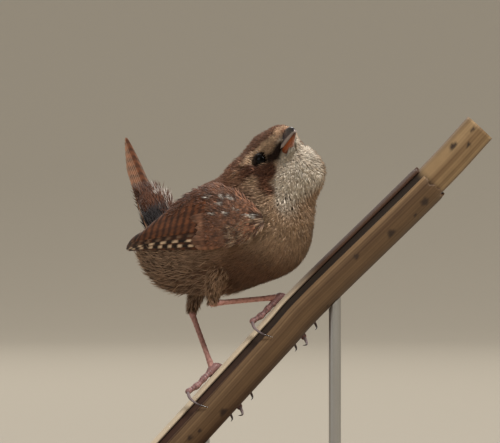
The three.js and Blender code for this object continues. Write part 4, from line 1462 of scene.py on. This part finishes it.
@dataclass
class Leg:
    """A leg: feathered thigh, scaled shank and toes, and smooth curved claws."""

    side: str
    hip: Triple
    knee: Triple
    ankle: Triple
    grip: float
    feather: Material
    scale_skin: Material
    horn: Material
    # tone is painted shade: below 1 it darkens the far leg.
    tone: float = 1.0
    shank_radius: float = 0.66
    toe_radius: float = 0.78
    claw_radius: float = 0.42
    thigh_radii: Triple = (4.2, 2.7, 1.25)
    down: float = 0.55
    thigh_barbs: int = 1500

    def scuted(self, path: Array, radii: Array, scutes: int, sides: int = 20) -> Array:
        """Rings of a limb that steps in and out like overlapping scales: a sawtooth of 5% each way."""
        saw = np.mod(np.linspace(0, scutes, len(path)), 1.0)
        return limb_rings(path, radii * (0.95 + 0.1 * saw), sides, FAR_SIDE)

    def build(self) -> None:
        """Makes the thigh, the shank, the foot and the claws."""
        joint = around_reed((0, 18, 6.6), self.grip)
        corners = 110
        path = curve_points([self.ankle, (np.array(self.ankle) + joint) / 2, joint], corners)
        at = np.linspace(0, 1, corners)
        radii = np.interp(at, [0, 0.07, 0.2, 0.8, 0.93, 1], [1.3, 1.2, 0.98, 0.95, 1.15, 1.2])
        points, faces = tube(self.scuted(path, radii * self.shank_radius, 11))
        # self.tone paints shade on the far leg's shank.
        tint = mix(SHANK, SHANK_SHADE, ramp(-0.2, 0.9, mottle(points, 1.1)) * 0.6) * self.tone
        shank = one_part(f"tarsus_{self.side}_skin", (points, faces), tint, self.scale_skin, "leg")
        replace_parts(shank, f"tarsus_{self.side}")
        self.foot()
        self.thigh()

    def foot(self) -> None:
        """Makes the pad and toes as one piece and each claw as its own."""
        foot = Build()
        toes = {"hallux": (HALLUX, HALLUX_CLAW)}
        for name, toe in FRONT_TOES.items():
            along, degrees, out = toe[3]
            claw = (
                (along + 0.05, degrees + 2, out),
                (along - 0.4, degrees + 17, out + 0.7),
                (along - 0.9, degrees + 29, out + 1.0),
                (along - 1.6, degrees + 41, out + 0.6),
            )
            toes[name] = (toe, claw)
        # The square root of self.tone paints shade on the far leg's toes.
        toe_tone = TOE * math.sqrt(self.tone)
        for name, (toe, claw) in toes.items():
            corners = 72
            path = curve_points([around_reed(p, self.grip) for p in toe], corners)
            at = np.linspace(0, 1, corners)
            pads = 1 + 0.12 * np.cos(FULL_TURN * at * 3)
            radii = np.interp(at, [0, 0.3, 0.7, 1], [1.15, 0.95, 0.98, 0.85]) * pads * self.toe_radius
            points, faces = tube(self.scuted(path, radii, 12, 16))
            tint = mix(toe_tone, toe_tone * 0.4, ramp(-0.3, 0.7, mottle(points, 0.9)))
            foot.add(points, faces, tint)
            self.claw(name, claw)
        pad = np.array([around_reed(p, self.grip) for p in ((-0.7, 17, 6.15), (0.7, 21, 6.15))])
        foot.add(*tube(limb_rings(pad, np.array([1.05, 1.05]), 16, FAR_SIDE)), toe_tone * 0.9)
        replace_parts(foot.finish(f"foot_{self.side}_skin", self.scale_skin, "leg"), f"foot_{self.side}")

    def claw(self, name: str, claw: Sequence[Sequence[float]]) -> None:
        """Makes one claw: a curved cone, deep and narrow, silver grey with a dark tip."""
        corners, sides = 28, 12
        path = curve_points([around_reed(p, self.grip) for p in claw], corners)
        at = np.linspace(0, 1, corners)
        radii = self.claw_radius * (1 - at**1.6 * 0.9)
        rings = limb_rings(path, radii, sides, np.array([0.3, 0.2, 1.0]))
        share = np.r_[np.repeat(np.pad(at, len(DOME), mode="edge"), sides), 0, 1]
        colour = mix(CLAW, CLAW_TIP, ramp(0.35, 0.9, share))
        piece = one_part(f"talon_{self.side}_{name}", tube(rings), colour, self.horn, "claw")
        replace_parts(piece, f"claw_{self.side}_{name}")

    def thigh(self) -> None:
        """Makes the thigh's skin and its short barbs, buff in front and dark behind."""
        rng = np.random.default_rng(41 if self.side == "right" else 42)
        corners = 40
        path = curve_points([self.hip, self.knee, self.ankle], corners)
        radii = np.interp(np.linspace(0, 1, corners), [0, 0.5, 1], self.thigh_radii) - self.down
        rings = limb_rings(path, radii, 28, FAR_SIDE)
        # self.tone paints shade on the far thigh's skin.
        tone = PALETTE.belly * 0.6 * self.tone
        skin = one_part(f"thigh_{self.side}_skin", tube(rings), tone, self.feather, "plumage")
        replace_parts(skin, f"thigh_{self.side}")
        grid = rings[len(DOME):-len(DOME)]
        coat = Coat((1.6, 2.8), (0.18, 0.36), (-0.3, 0.1), 0.18, thick=0.06)
        places, uv = scatter(grid, np.ones(grid.shape[:2]), self.thigh_barbs, rng)
        at = np.clip((uv[:, 1] * (len(path) - 1)).astype(int), 0, len(path) - 2)
        flow = unit(path[at + 1] - path[at])
        out = unit(places - path[at])
        out = unit(out - flow * np.sum(out * flow, -1, keepdims=True))
        roots = Roots(places, out, flow, uv)
        end = np.clip((np.linalg.norm(places - np.array(self.ankle), axis=1) + 0.6) / 2.8, 0.3, 1.0)

        def shade(centre: Array, share: Array, chance: Array) -> Array:
            """Buff with darker roots."""
            tint = mix(PALETTE.belly, PALETTE.breast, ramp(0.3, 1.0, share) * 0.9)
            # self.tone to the power 1.5 paints shade on the far thigh's barbs.
            return lit(tint * self.tone**1.5, share, chance, (0.7, 0.6), (0.6, 0.9))

        name = f"thigh_{self.side}_barbs"
        grow(name, roots, coat, shade, rng, self.feather, form=None, length_scale=end)


@dataclass
class Face:
    """Eyes with their lids, and the bill."""

    bill_start: float = 3.6
    bill_tip: float = 15.9
    half_width: float = 2.6
    upper_depth: float = 3.3
    lower_depth: float = 1.2
    edge: float = 0.25
    gap: float = 0.15
    lid_open: float = 56.0
    lid_end: float = 100.0
    groove_at: float = 8.3
    wet: Finish = Finish("eye_wet_black", roughness=0.05, sheen=0.0, specular=0.12, grain=0.0, bump=0.0)
    lid: Finish = Finish("eyelid_skin", roughness=0.55, sheen=0.0, grain_scale=2500.0, bump=0.3)
    horn: Finish = Finish(
        "bill_horn",
        roughness=0.24,
        sheen=0.0,
        specular=0.5,
        grain=0.14,
        grain_scale=420.0,
        bump=0.06,
        coat=0.25,
    )

    def build(self) -> None:
        """Makes both eyes, both lids and the two mandibles."""
        wet, lid, horn = self.wet.material(), self.lid.material(), self.horn.material()
        for side, sign in (("right", -1.0), ("left", 1.0)):
            mirror = np.array([1.0, sign, 1.0])
            place = HEAD.place(EYE_AT * mirror - FAR_EYE_INSET * max(sign, 0.0))
            look = unit((EYE_LOOK * mirror) @ HEAD.rows)
            self.eye(side, place, look, wet)
            self.lids(side, place, look, lid)
        for upper in (True, False):
            self.mandible(upper, horn)

    @staticmethod
    def spokes(look: Array, turn: Array) -> Array:
        """Directions square to the look, at turns round it."""
        across = unit(np.cross(look, UP))
        return np.cos(turn) * across + np.sin(turn) * np.cross(across, look)

    def eye(self, side: str, centre: Array, look: Array, material: Material) -> None:
        """Makes an eyeball: a sphere whose poles lie along the look, brown black round a black pupil."""
        polar = np.radians(np.linspace(2, 178, 40))[:, None, None]
        spoke = self.spokes(look, turns(48)[None, :, None])
        points, faces = tube(centre + EYE_RADIUS * (np.cos(polar) * look + np.sin(polar) * spoke))
        reach = size_of(points - (centre + look * EYE_RADIUS))
        colour = mix(PUPIL, IRIS, ramp(0.8, 1.1, reach))
        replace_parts(one_part(f"eyeball_{side}", (points, faces), colour, material, "eye"), f"eye_{side}")

    def lids(self, side: str, centre: Array, look: Array, material: Material) -> None:
        """Makes the lids: a zone of a larger sphere round the open eye, thickest in the middle.

        It runs between two angles off the look, and its outer face has small beads.
        """
        around, across = 72, 9
        turn = turns(around)[:, None]
        bead = 1 + 0.25 * np.cos(turn * 24)
        off = np.radians(np.linspace(self.lid_open, self.lid_end, across))[None, :]
        swell = np.sin(np.linspace(0, math.pi, across))[None, :] ** 0.7
        outer = EYE_RADIUS + 0.03 + 0.17 * swell * bead
        inner = EYE_RADIUS - 0.05 + 0 * outer
        radius = np.concatenate([outer, inner[:, ::-1]], 1)[..., None]
        angle = np.concatenate([off, off[:, ::-1]], 1)[..., None]
        spoke = self.spokes(look, turn)[:, None]
        points = centre + radius * (np.cos(angle) * look + np.sin(angle) * spoke)
        points = points.reshape(-1, 3)
        faces = outward_faces(points, [grid_faces(around + 1, across * 2, True) % len(points)])
        one_part(f"eyelids_{side}", (points, faces), EYELID, material, "plumage")

    def mandible(self, upper: bool, material: Material) -> None:
        """Makes one mandible.

        Each section is half an ellipse on the line where the two meet. Above, the depth falls as
        the root of 1 - t^2.2, so the ridge bends down to the tip; below, as 1 - t^2. A shallow
        nostril groove is pressed into the upper one's sides.

        Args:
            upper: whether it is the upper one.
            material: the horn.
        """
        rows, half = 60, 24
        t = np.minimum(np.linspace(0, 1, rows), 0.99)[:, None]
        x = self.bill_start + (self.bill_tip - (0.0 if upper else 0.5) - self.bill_start) * t
        width = self.half_width * (0.12 + 0.88 * (1 - t) ** 0.85) - 0.28 * np.sin(math.pi * t)
        width = width * (1.0 if upper else 0.84)
        meet = -1.1 - 0.5 * t * t
        turn = np.linspace(0, math.pi, half)[None, :]
        if upper:
            depth = self.upper_depth * np.sqrt(1 - t**2.2) + self.edge
            z = meet + np.sin(turn) * depth
        else:
            depth = self.lower_depth * (1 - t**2) + self.edge - self.gap
            z = meet - self.gap - np.sin(turn) * depth
        groove = np.exp(-(((x - self.groove_at) / 0.9) ** 2) - (((z - meet - 1.0) / 0.35) ** 2))
        y = np.cos(turn) * (width - (0.22 * groove if upper else 0))
        rings = HEAD.place(np.stack([x + 0 * turn, y, z], -1))
        share = np.r_[np.repeat(t[:, 0], half), 0, 1]
        low = np.r_[np.tile(np.sin(turn[0]), rows), 0, 0]
        if upper:
            # Pale along the cutting edge: partly paler horn, partly painted highlight.
            colour = mix(RIDGE, CUTTING_EDGE_AND_HIGHLIGHT, ramp(0.3, 0.05, low) * 0.8)
            colour = mix(colour, RIDGE_TIP, ramp(0.55, 0.95, share) * ramp(0.1, 0.4, low) * 0.6)
        else:
            # Orange horn: partly its own colour, partly painted glow; darker at the tip.
            colour = mix(LOWER_HORN_AND_GLOW, LOWER_TIP, ramp(0.75, 1.0, share))
            # Painted shade: darker towards the lower mandible's base.
            colour = mix(colour, LOWER_ROOT_SHADE, ramp(0.42, 0.05, share))
            # Painted shade: darker along the edges that meet the upper mandible.
            colour = mix(colour, LOWER_SIDE_SHADE, ramp(0.35, 0.0, low) * 0.5)
        name = "upper" if upper else "lower"
        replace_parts(one_part(f"mandible_{name}", tube(rings), colour, material, "bill"), f"bill_{name}")


@dataclass
class Reed:
    """The cut reed: a round culm in a papery sheath that is open along a dark slit.

    Spots are given as shares of its length and degrees round it from its upper side.
    """

    culm_radius: float = 4.0
    sheath_radius: float = 4.95
    sheath_inner: float = 4.2
    sheath_share: float = 0.845
    slit_width: float = 30.0
    slit_at: float = -50.0
    hollow_radius: float = 2.5
    hollow_depth: float = 3.0
    length: float = 118.0
    culm_sides: int = 64
    culm_spots: tuple[Pair, ...] = ((0.93, -60), (0.955, -100), (0.985, -75))
    sheath_spots: tuple[Pair, ...] = (
        (0.165, -128), (0.075, -105), (0.1, -112), (0.8, -122),
        (0.765, -132), (0.61, -96), (0.7, -118), (0.49, -150),
    )
    dry: Finish = Finish(
        "reed_dry", roughness=0.62, sheen=0.05, specular=0.3, grain=0.16, grain_scale=260.0, bump=0.25
    )

    def frame_at(self, share: Array) -> tuple[Array, Array]:
        """Axis points and upper-side directions at shares of the reed's length."""
        path = curve_points(REED_AXIS, REED_CORNERS)
        at = np.linspace(0, 1, REED_CORNERS)
        tangent = unit(read_path(share, at, unit(np.gradient(path, axis=0))))
        upper = np.stack([-tangent[..., 2], 0 * tangent[..., 0], tangent[..., 0]], -1)
        return read_path(share, at, path), upper

    def surface(self, share: Array, degrees: Array, radius: Array | float) -> Array:
        """Points round the reed at shares of its length, degrees from its upper side and radii."""
        centre, upper = self.frame_at(share)
        turn = np.radians(degrees)[..., None]
        return centre + (np.cos(turn) * upper + np.sin(turn) * FAR_SIDE) * np.asarray(radius)[..., None]

    def build(self) -> None:
        """Makes the culm and the sheath."""
        material = self.dry.material()
        self.culm(material)
        self.sheath(material)

    def tint(self, share: Array, degrees: Array, pale: Array, dark: Array) -> Array:
        """Fine lengthwise streaks between two tones: sines of the turn that drift slowly along."""
        turn = np.radians(degrees)
        drift = 6.0 * share
        fine = np.sin(turn * 31 + np.sin(drift * 2.1)) + np.sin(turn * 53 + 2.0 * np.sin(drift * 1.3 + 1))
        broad = np.sin(turn * 4 + drift * 0.4) + 0.6 * np.sin(turn * 9 - drift * 0.7)
        return mix(pale, dark, np.clip(0.5 + 0.12 * fine + 0.22 * broad, 0, 1))

    def culm(self, material: Material) -> None:
        """Makes the culm, with a shallow hollow in each cut end, dark spots, and painted shade where the
        sheath covers it.
        """
        steps = 160
        axis = curve_points(REED_AXIS, REED_CORNERS)
        depth = self.hollow_depth / float(np.linalg.norm(np.diff(axis, axis=0), axis=1).sum())
        share = np.r_[depth, depth, 0, 0, np.linspace(0, 1, steps), 1, 1, 1 - depth, 1 - depth]
        hollow, lip = self.hollow_radius, self.culm_radius - 0.2
        end = np.array([hollow * 0.5, hollow, hollow, lip])
        radius = np.r_[end, np.full(steps, self.culm_radius), end[::-1]]
        share, degrees = crossed(share, np.degrees(turns(self.culm_sides)))
        radius = np.repeat(radius[:, None], self.culm_sides, 1)
        solid = tube(self.surface(share, degrees, radius))
        colour = self.tint(share, degrees, STRAW, STRAW_STREAK)
        # Painted shade: under the sheath the culm is darkened to near black brown, darker further along.
        shaded = ramp(self.sheath_share + 0.004, self.sheath_share - 0.02, share)
        dark = mix(SLIT_SHADE_LOW, SLIT_SHADE_HIGH, ramp(0.1, 0.45, share))
        colour = mix(colour, dark, shaded * 0.95)
        colour = mix(colour, STRAW_SPOT, self.spots(share, degrees, self.culm_spots))
        colour = mix(colour, CUT_END, (radius < self.culm_radius) * 0.55)
        colour = np.vstack([colour.reshape(-1, 3), colour[0].mean(0), colour[-1].mean(0)])
        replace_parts(one_part("reed_culm", solid, colour, material, "reed_culm"), "perch_culm")

    def spots(self, share: Array, degrees: Array, places: Sequence[Pair]) -> Array:
        """1 inside small oval dark spots at given shares and degrees, fading out at their rims."""
        total = np.zeros(share.shape)
        for number, (at, angle) in enumerate(places):
            run = (share - at) * self.length
            over = np.radians(np.mod(degrees - angle + 180, 360) - 180) * self.culm_radius
            turn = np.arctan2(over, run)
            ragged = 1 + 0.14 * np.sin(3 * turn + number) + 0.1 * np.sin(5 * turn + 2 * number)
            size = 0.62 + 0.3 * math.sin(2.3 * number + 1.0)
            total = np.maximum(total, ramp(1.3, 0.55, np.hypot(run * 0.75, over * 1.1) / size * ragged))
        return total

    def sheath(self, material: Material) -> None:
        """Makes the sheath: a wall with ribs 0.03 mm proud, open along the slit, worn at its end."""
        rows, columns = 190, 150
        open_at = self.slit_at + self.slit_width / 2
        around = np.linspace(open_at, open_at + 360 - self.slit_width, columns)
        share, degrees = crossed(np.linspace(0, 1, rows), around)
        turn = np.radians(degrees)
        wear = 0.004 * np.sin(turn * 5) + 0.003 * np.sin(turn * 13 + 1)
        share = share * (self.sheath_share - 0.006 + wear * 0.8)
        rib = 0.03 * np.sin(turn * 46)
        thin = 0.18 * ramp(0.02, 0.0, self.sheath_share - share)
        outer = self.surface(share, degrees, self.sheath_radius - 0.04 + rib - thin)
        inner = self.surface(share, degrees, self.sheath_inner)
        colour = self.tint(share, degrees, SHEATH, SHEATH_STREAK)
        # Painted shade: the sheath's underside, round 205 degrees from its upper side, is darkened.
        under = ramp(-0.15, 0.7, np.cos(np.radians(degrees - 205)))
        colour = mix(colour, SHEATH_UNDER_SHADE, under * 0.7)
        rim = ramp(62.0, 34.0, degrees - open_at)
        edge = mix(SHEATH_RIM, SHEATH_RIM_HIGH, ramp(0.4, 0.55, share))
        colour = mix(colour, edge, rim * 0.9)
        colour = mix(colour, SHEATH_SPOT, self.spots(share, degrees, self.sheath_spots) * 0.9)
        # Painted shade: the sheath's whole inner face is dark brown.
        lining_shade = np.broadcast_to(SHEATH_LINING_SHADE, colour.shape)
        shades = np.vstack([colour.reshape(-1, 3), lining_shade.reshape(-1, 3)])
        wall = one_part("reed_sheath", plate(outer, inner), shades, material, "reed_sheath")
        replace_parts(wall, "perch_sheath")


@dataclass
class Stand:
    """The display stand: a turned wooden base and two drawn steel rods."""

    sides: int = 160
    profile: tuple[Pair, ...] = (
        (0.5, 0), (42.6, 0), (42.9, 0.12), (43, 0.4), (43, 5.2), (42.7, 5.9), (41.9, 6.2),
        (41.7, 6.5), (41.5, 7.2), (40.9, 7.8), (40.0, 8.0), (0.5, 8.0),
    )
    tone: Array = field(default_factory=lambda: linear(96, 62, 40))
    wood_tones: tuple[tuple[int, int, int], ...] = ((62, 38, 25), (128, 86, 56))
    rods: tuple[str, ...] = ("stand_rod_low", "stand_rod_high")

    def build(self) -> None:
        """Makes the base by turning a profile, and dresses the rods."""
        solid, wood = tube(turned(np.array(self.profile), self.sides)), self.wood()
        base = one_part("stand_turned_base", solid, self.tone, wood, "stand_wood", smooth=False)
        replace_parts(base, "stand_base")
        steel = self.steel()
        for name in self.rods:
            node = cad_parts[name]
            node.data.materials.clear()
            node.data.materials.append(steel)

    def wood(self) -> Material:
        """Dark wood: wide and narrow bands of grain along X, with fine pores, under satin lacquer."""
        nodes = NodeTree("stand_walnut")
        nodes.set(nodes.shader, Roughness=0.42, Coat_Weight=0.2, Coat_Roughness=0.3)
        grain = nodes.grain((12.0, 160.0, 160.0), Scale=1.6, Detail=9.0, Distortion=0.6)
        tones = nodes.add("ValToRGB")
        for element, position, tone in zip(tones.color_ramp.elements, (0.32, 0.68), self.wood_tones):
            element.position = position
            element.color = (*linear(*tone), 1.0)
        nodes.link(grain, "Fac", tones, "Fac")
        nodes.link(tones, "Color", nodes.shader, "Base Color")
        nodes.relief(grain, 0.15, 0.0003)
        return nodes.material

    def steel(self) -> Material:
        """Drawn steel: bright, with faint lengthwise scratches in its roughness."""
        nodes = NodeTree("stand_steel")
        nodes.set(nodes.shader, Base_Color=(0.56, 0.56, 0.55, 1.0), Metallic=1.0)
        scratch = nodes.grain((2500.0, 2500.0, 60.0), Scale=1.0)
        nodes.link(nodes.spread(scratch, 0.22, 0.42), "Result", nodes.shader, "Roughness")
        return nodes.material


@dataclass
class Studio:
    """The plain pale stage, the soft lights and the camera."""

    pixels_per_mm: float = 4.1
    frame_width: float = 500.0
    frame_height: float = 443.0
    frame_bottom: float = 20.0
    camera_distance: float = 1.5
    sensor: float = 36.0
    stage_sizes: Triple = (2300.0, 2500.0, 4600.0)
    stage_sides: int = 96

    def build(self) -> None:
        """Makes the stage, lights and camera."""
        self.stage()
        warm, cool, bird = (1.0, 0.98, 0.95), (0.96, 0.97, 1.0), (0.0, 0.0, 0.07)
        self.area("key_light", (1.0, -1.2, 1.9), 0.7, 62.0, warm, bird)
        self.area("fill_light", (-1.5, -1.3, 0.9), 1.4, 8.0, cool, bird)
        self.area("back_light", (-0.6, 1.7, 1.5), 1.0, 14.0, warm, bird)
        self.area("wall_light", (0.0, 1.2, 2.6), 1.6, 34.0, (1.0, 0.97, 0.92), (0.0, 4.2, 0.2))
        world = bpy.data.worlds.new("studio_air")
        world.use_nodes = True
        air = world.node_tree.nodes["Background"]
        air.inputs["Color"].default_value = (0.84, 0.83, 0.80, 1.0)
        air.inputs["Strength"].default_value = 0.3
        bpy.context.scene.world = world
        self.camera()
        bpy.context.scene.view_settings.view_transform = "Standard"

    def stage(self) -> None:
        """Makes the stage: a round floor that curves up all round into a wall."""
        sides = self.stage_sides
        floor, corner, wall = self.stage_sizes
        bend = np.linspace(0, math.pi / 2, 24)
        radius = np.r_[10.0, 500.0, 1500.0, floor + corner * np.sin(bend), floor + corner]
        height = np.r_[0.0, 0.0, 0.0, corner * (1 - np.cos(bend)), wall]
        rings = turned(np.stack([radius, height], -1), sides)
        points = np.vstack([rings.reshape(-1, 3), [0, 0, 0]])
        j = np.arange(sides)
        middle = np.stack([np.full(sides, len(points) - 1), j, (j + 1) % sides], -1)
        faces = [grid_faces(len(radius), sides, True)[:, ::-1], middle]
        paper = Finish("stage_paper", roughness=0.9, sheen=0.0, grain=0.0, bump=0.0)
        piece = one_part("stage", (points, faces), STAGE, paper.material(), "stand_wood")

    @staticmethod
    def area(name: str, place: Triple, size: float, power: float, tint: Triple, target: Triple) -> None:
        """Makes an area light that looks at a target.

        Args:
            name: its name.
            place: where it hangs, in metres.
            size: the side of its square, in metres.
            power: in watts.
            tint: its colour.
            target: the place it looks at, in metres.
        """
        light = bpy.data.lights.new(name, "AREA")
        light.size = size
        light.energy = power
        light.color = tint
        lamp = bpy.data.objects.new(name, light)
        bpy.context.scene.collection.objects.link(lamp)
        lamp.location = place
        aim = np.array(target) - np.array(place)
        pitch = math.atan2(math.hypot(aim[0], aim[1]), -aim[2])
        lamp.rotation_euler = (pitch, 0.0, math.atan2(aim[1], aim[0]) - math.pi / 2)
        lamp.visible_camera = False

    def camera(self) -> None:
        """Makes a long-lens camera level with the bird, so that one pixel is 1 / 4.1 mm at it."""
        lens = bpy.data.cameras.new("camera")
        lens.sensor_width = self.sensor
        width = self.frame_width / self.pixels_per_mm * MM
        lens.lens = self.sensor * self.camera_distance / width
        lens.clip_start = 0.05
        lens.clip_end = 50.0
        viewer = bpy.data.objects.new("camera", lens)
        bpy.context.scene.collection.objects.link(viewer)
        height = (self.frame_bottom + self.frame_height / 2 / self.pixels_per_mm) * MM
        viewer.location = (0.0, -self.camera_distance, height)
        viewer.rotation_euler = (math.pi / 2, 0.0, 0.0)
        bpy.context.scene.camera = viewer


QUILL = Finish("quill_vane", roughness=0.62, sheen=0.08, grain=0.14, grain_scale=1400.0, bump=0.2)
SCALES = Finish(
    "leg_scales", roughness=0.45, sheen=0.0, specular=0.4, grain=0.16, grain_scale=1500.0, bump=0.35
)
CLAW_HORN = Finish("claw_horn", roughness=0.22, sheen=0.0, specular=0.5, grain=0.08, bump=0.03, coat=0.3)
# Each leg's last number is painted shade: 0.7 darkens the far, left leg.
LEGS = (
    ("right", ((-4.5, -3.4, 66), (-8.0, -4.6, 60.5), (-9.3, -4.6, 54.1)), 36.1, 1.0),
    ("left", ((-9.5, 8.4, 65), (-12.4, 10.4, 58.5), (-14.4, 12.3, 51.9)), 12.9, 0.7),
)


def main() -> None:
    """Builds each piece in order."""
    logging.basicConfig(level=logging.INFO, format="%(name)s: %(message)s")
    Studio().build()
    Plumage().build()
    quill, scales, horn = (finish.material() for finish in (QUILL, SCALES, CLAW_HORN))
    for sign, name, seed in ((-1.0, "wing_right", 21), (1.0, "wing_left", 22)):
        Wing(sign, name, seed, quill).build()
    TailFan(quill).build()
    Face().build()
    for side, points, grip, tone in LEGS:
        Leg(side, *points, grip, quill, scales, horn, tone).build()
    Reed().build()
    Stand().build()


if __name__ == "__main__":
    main()
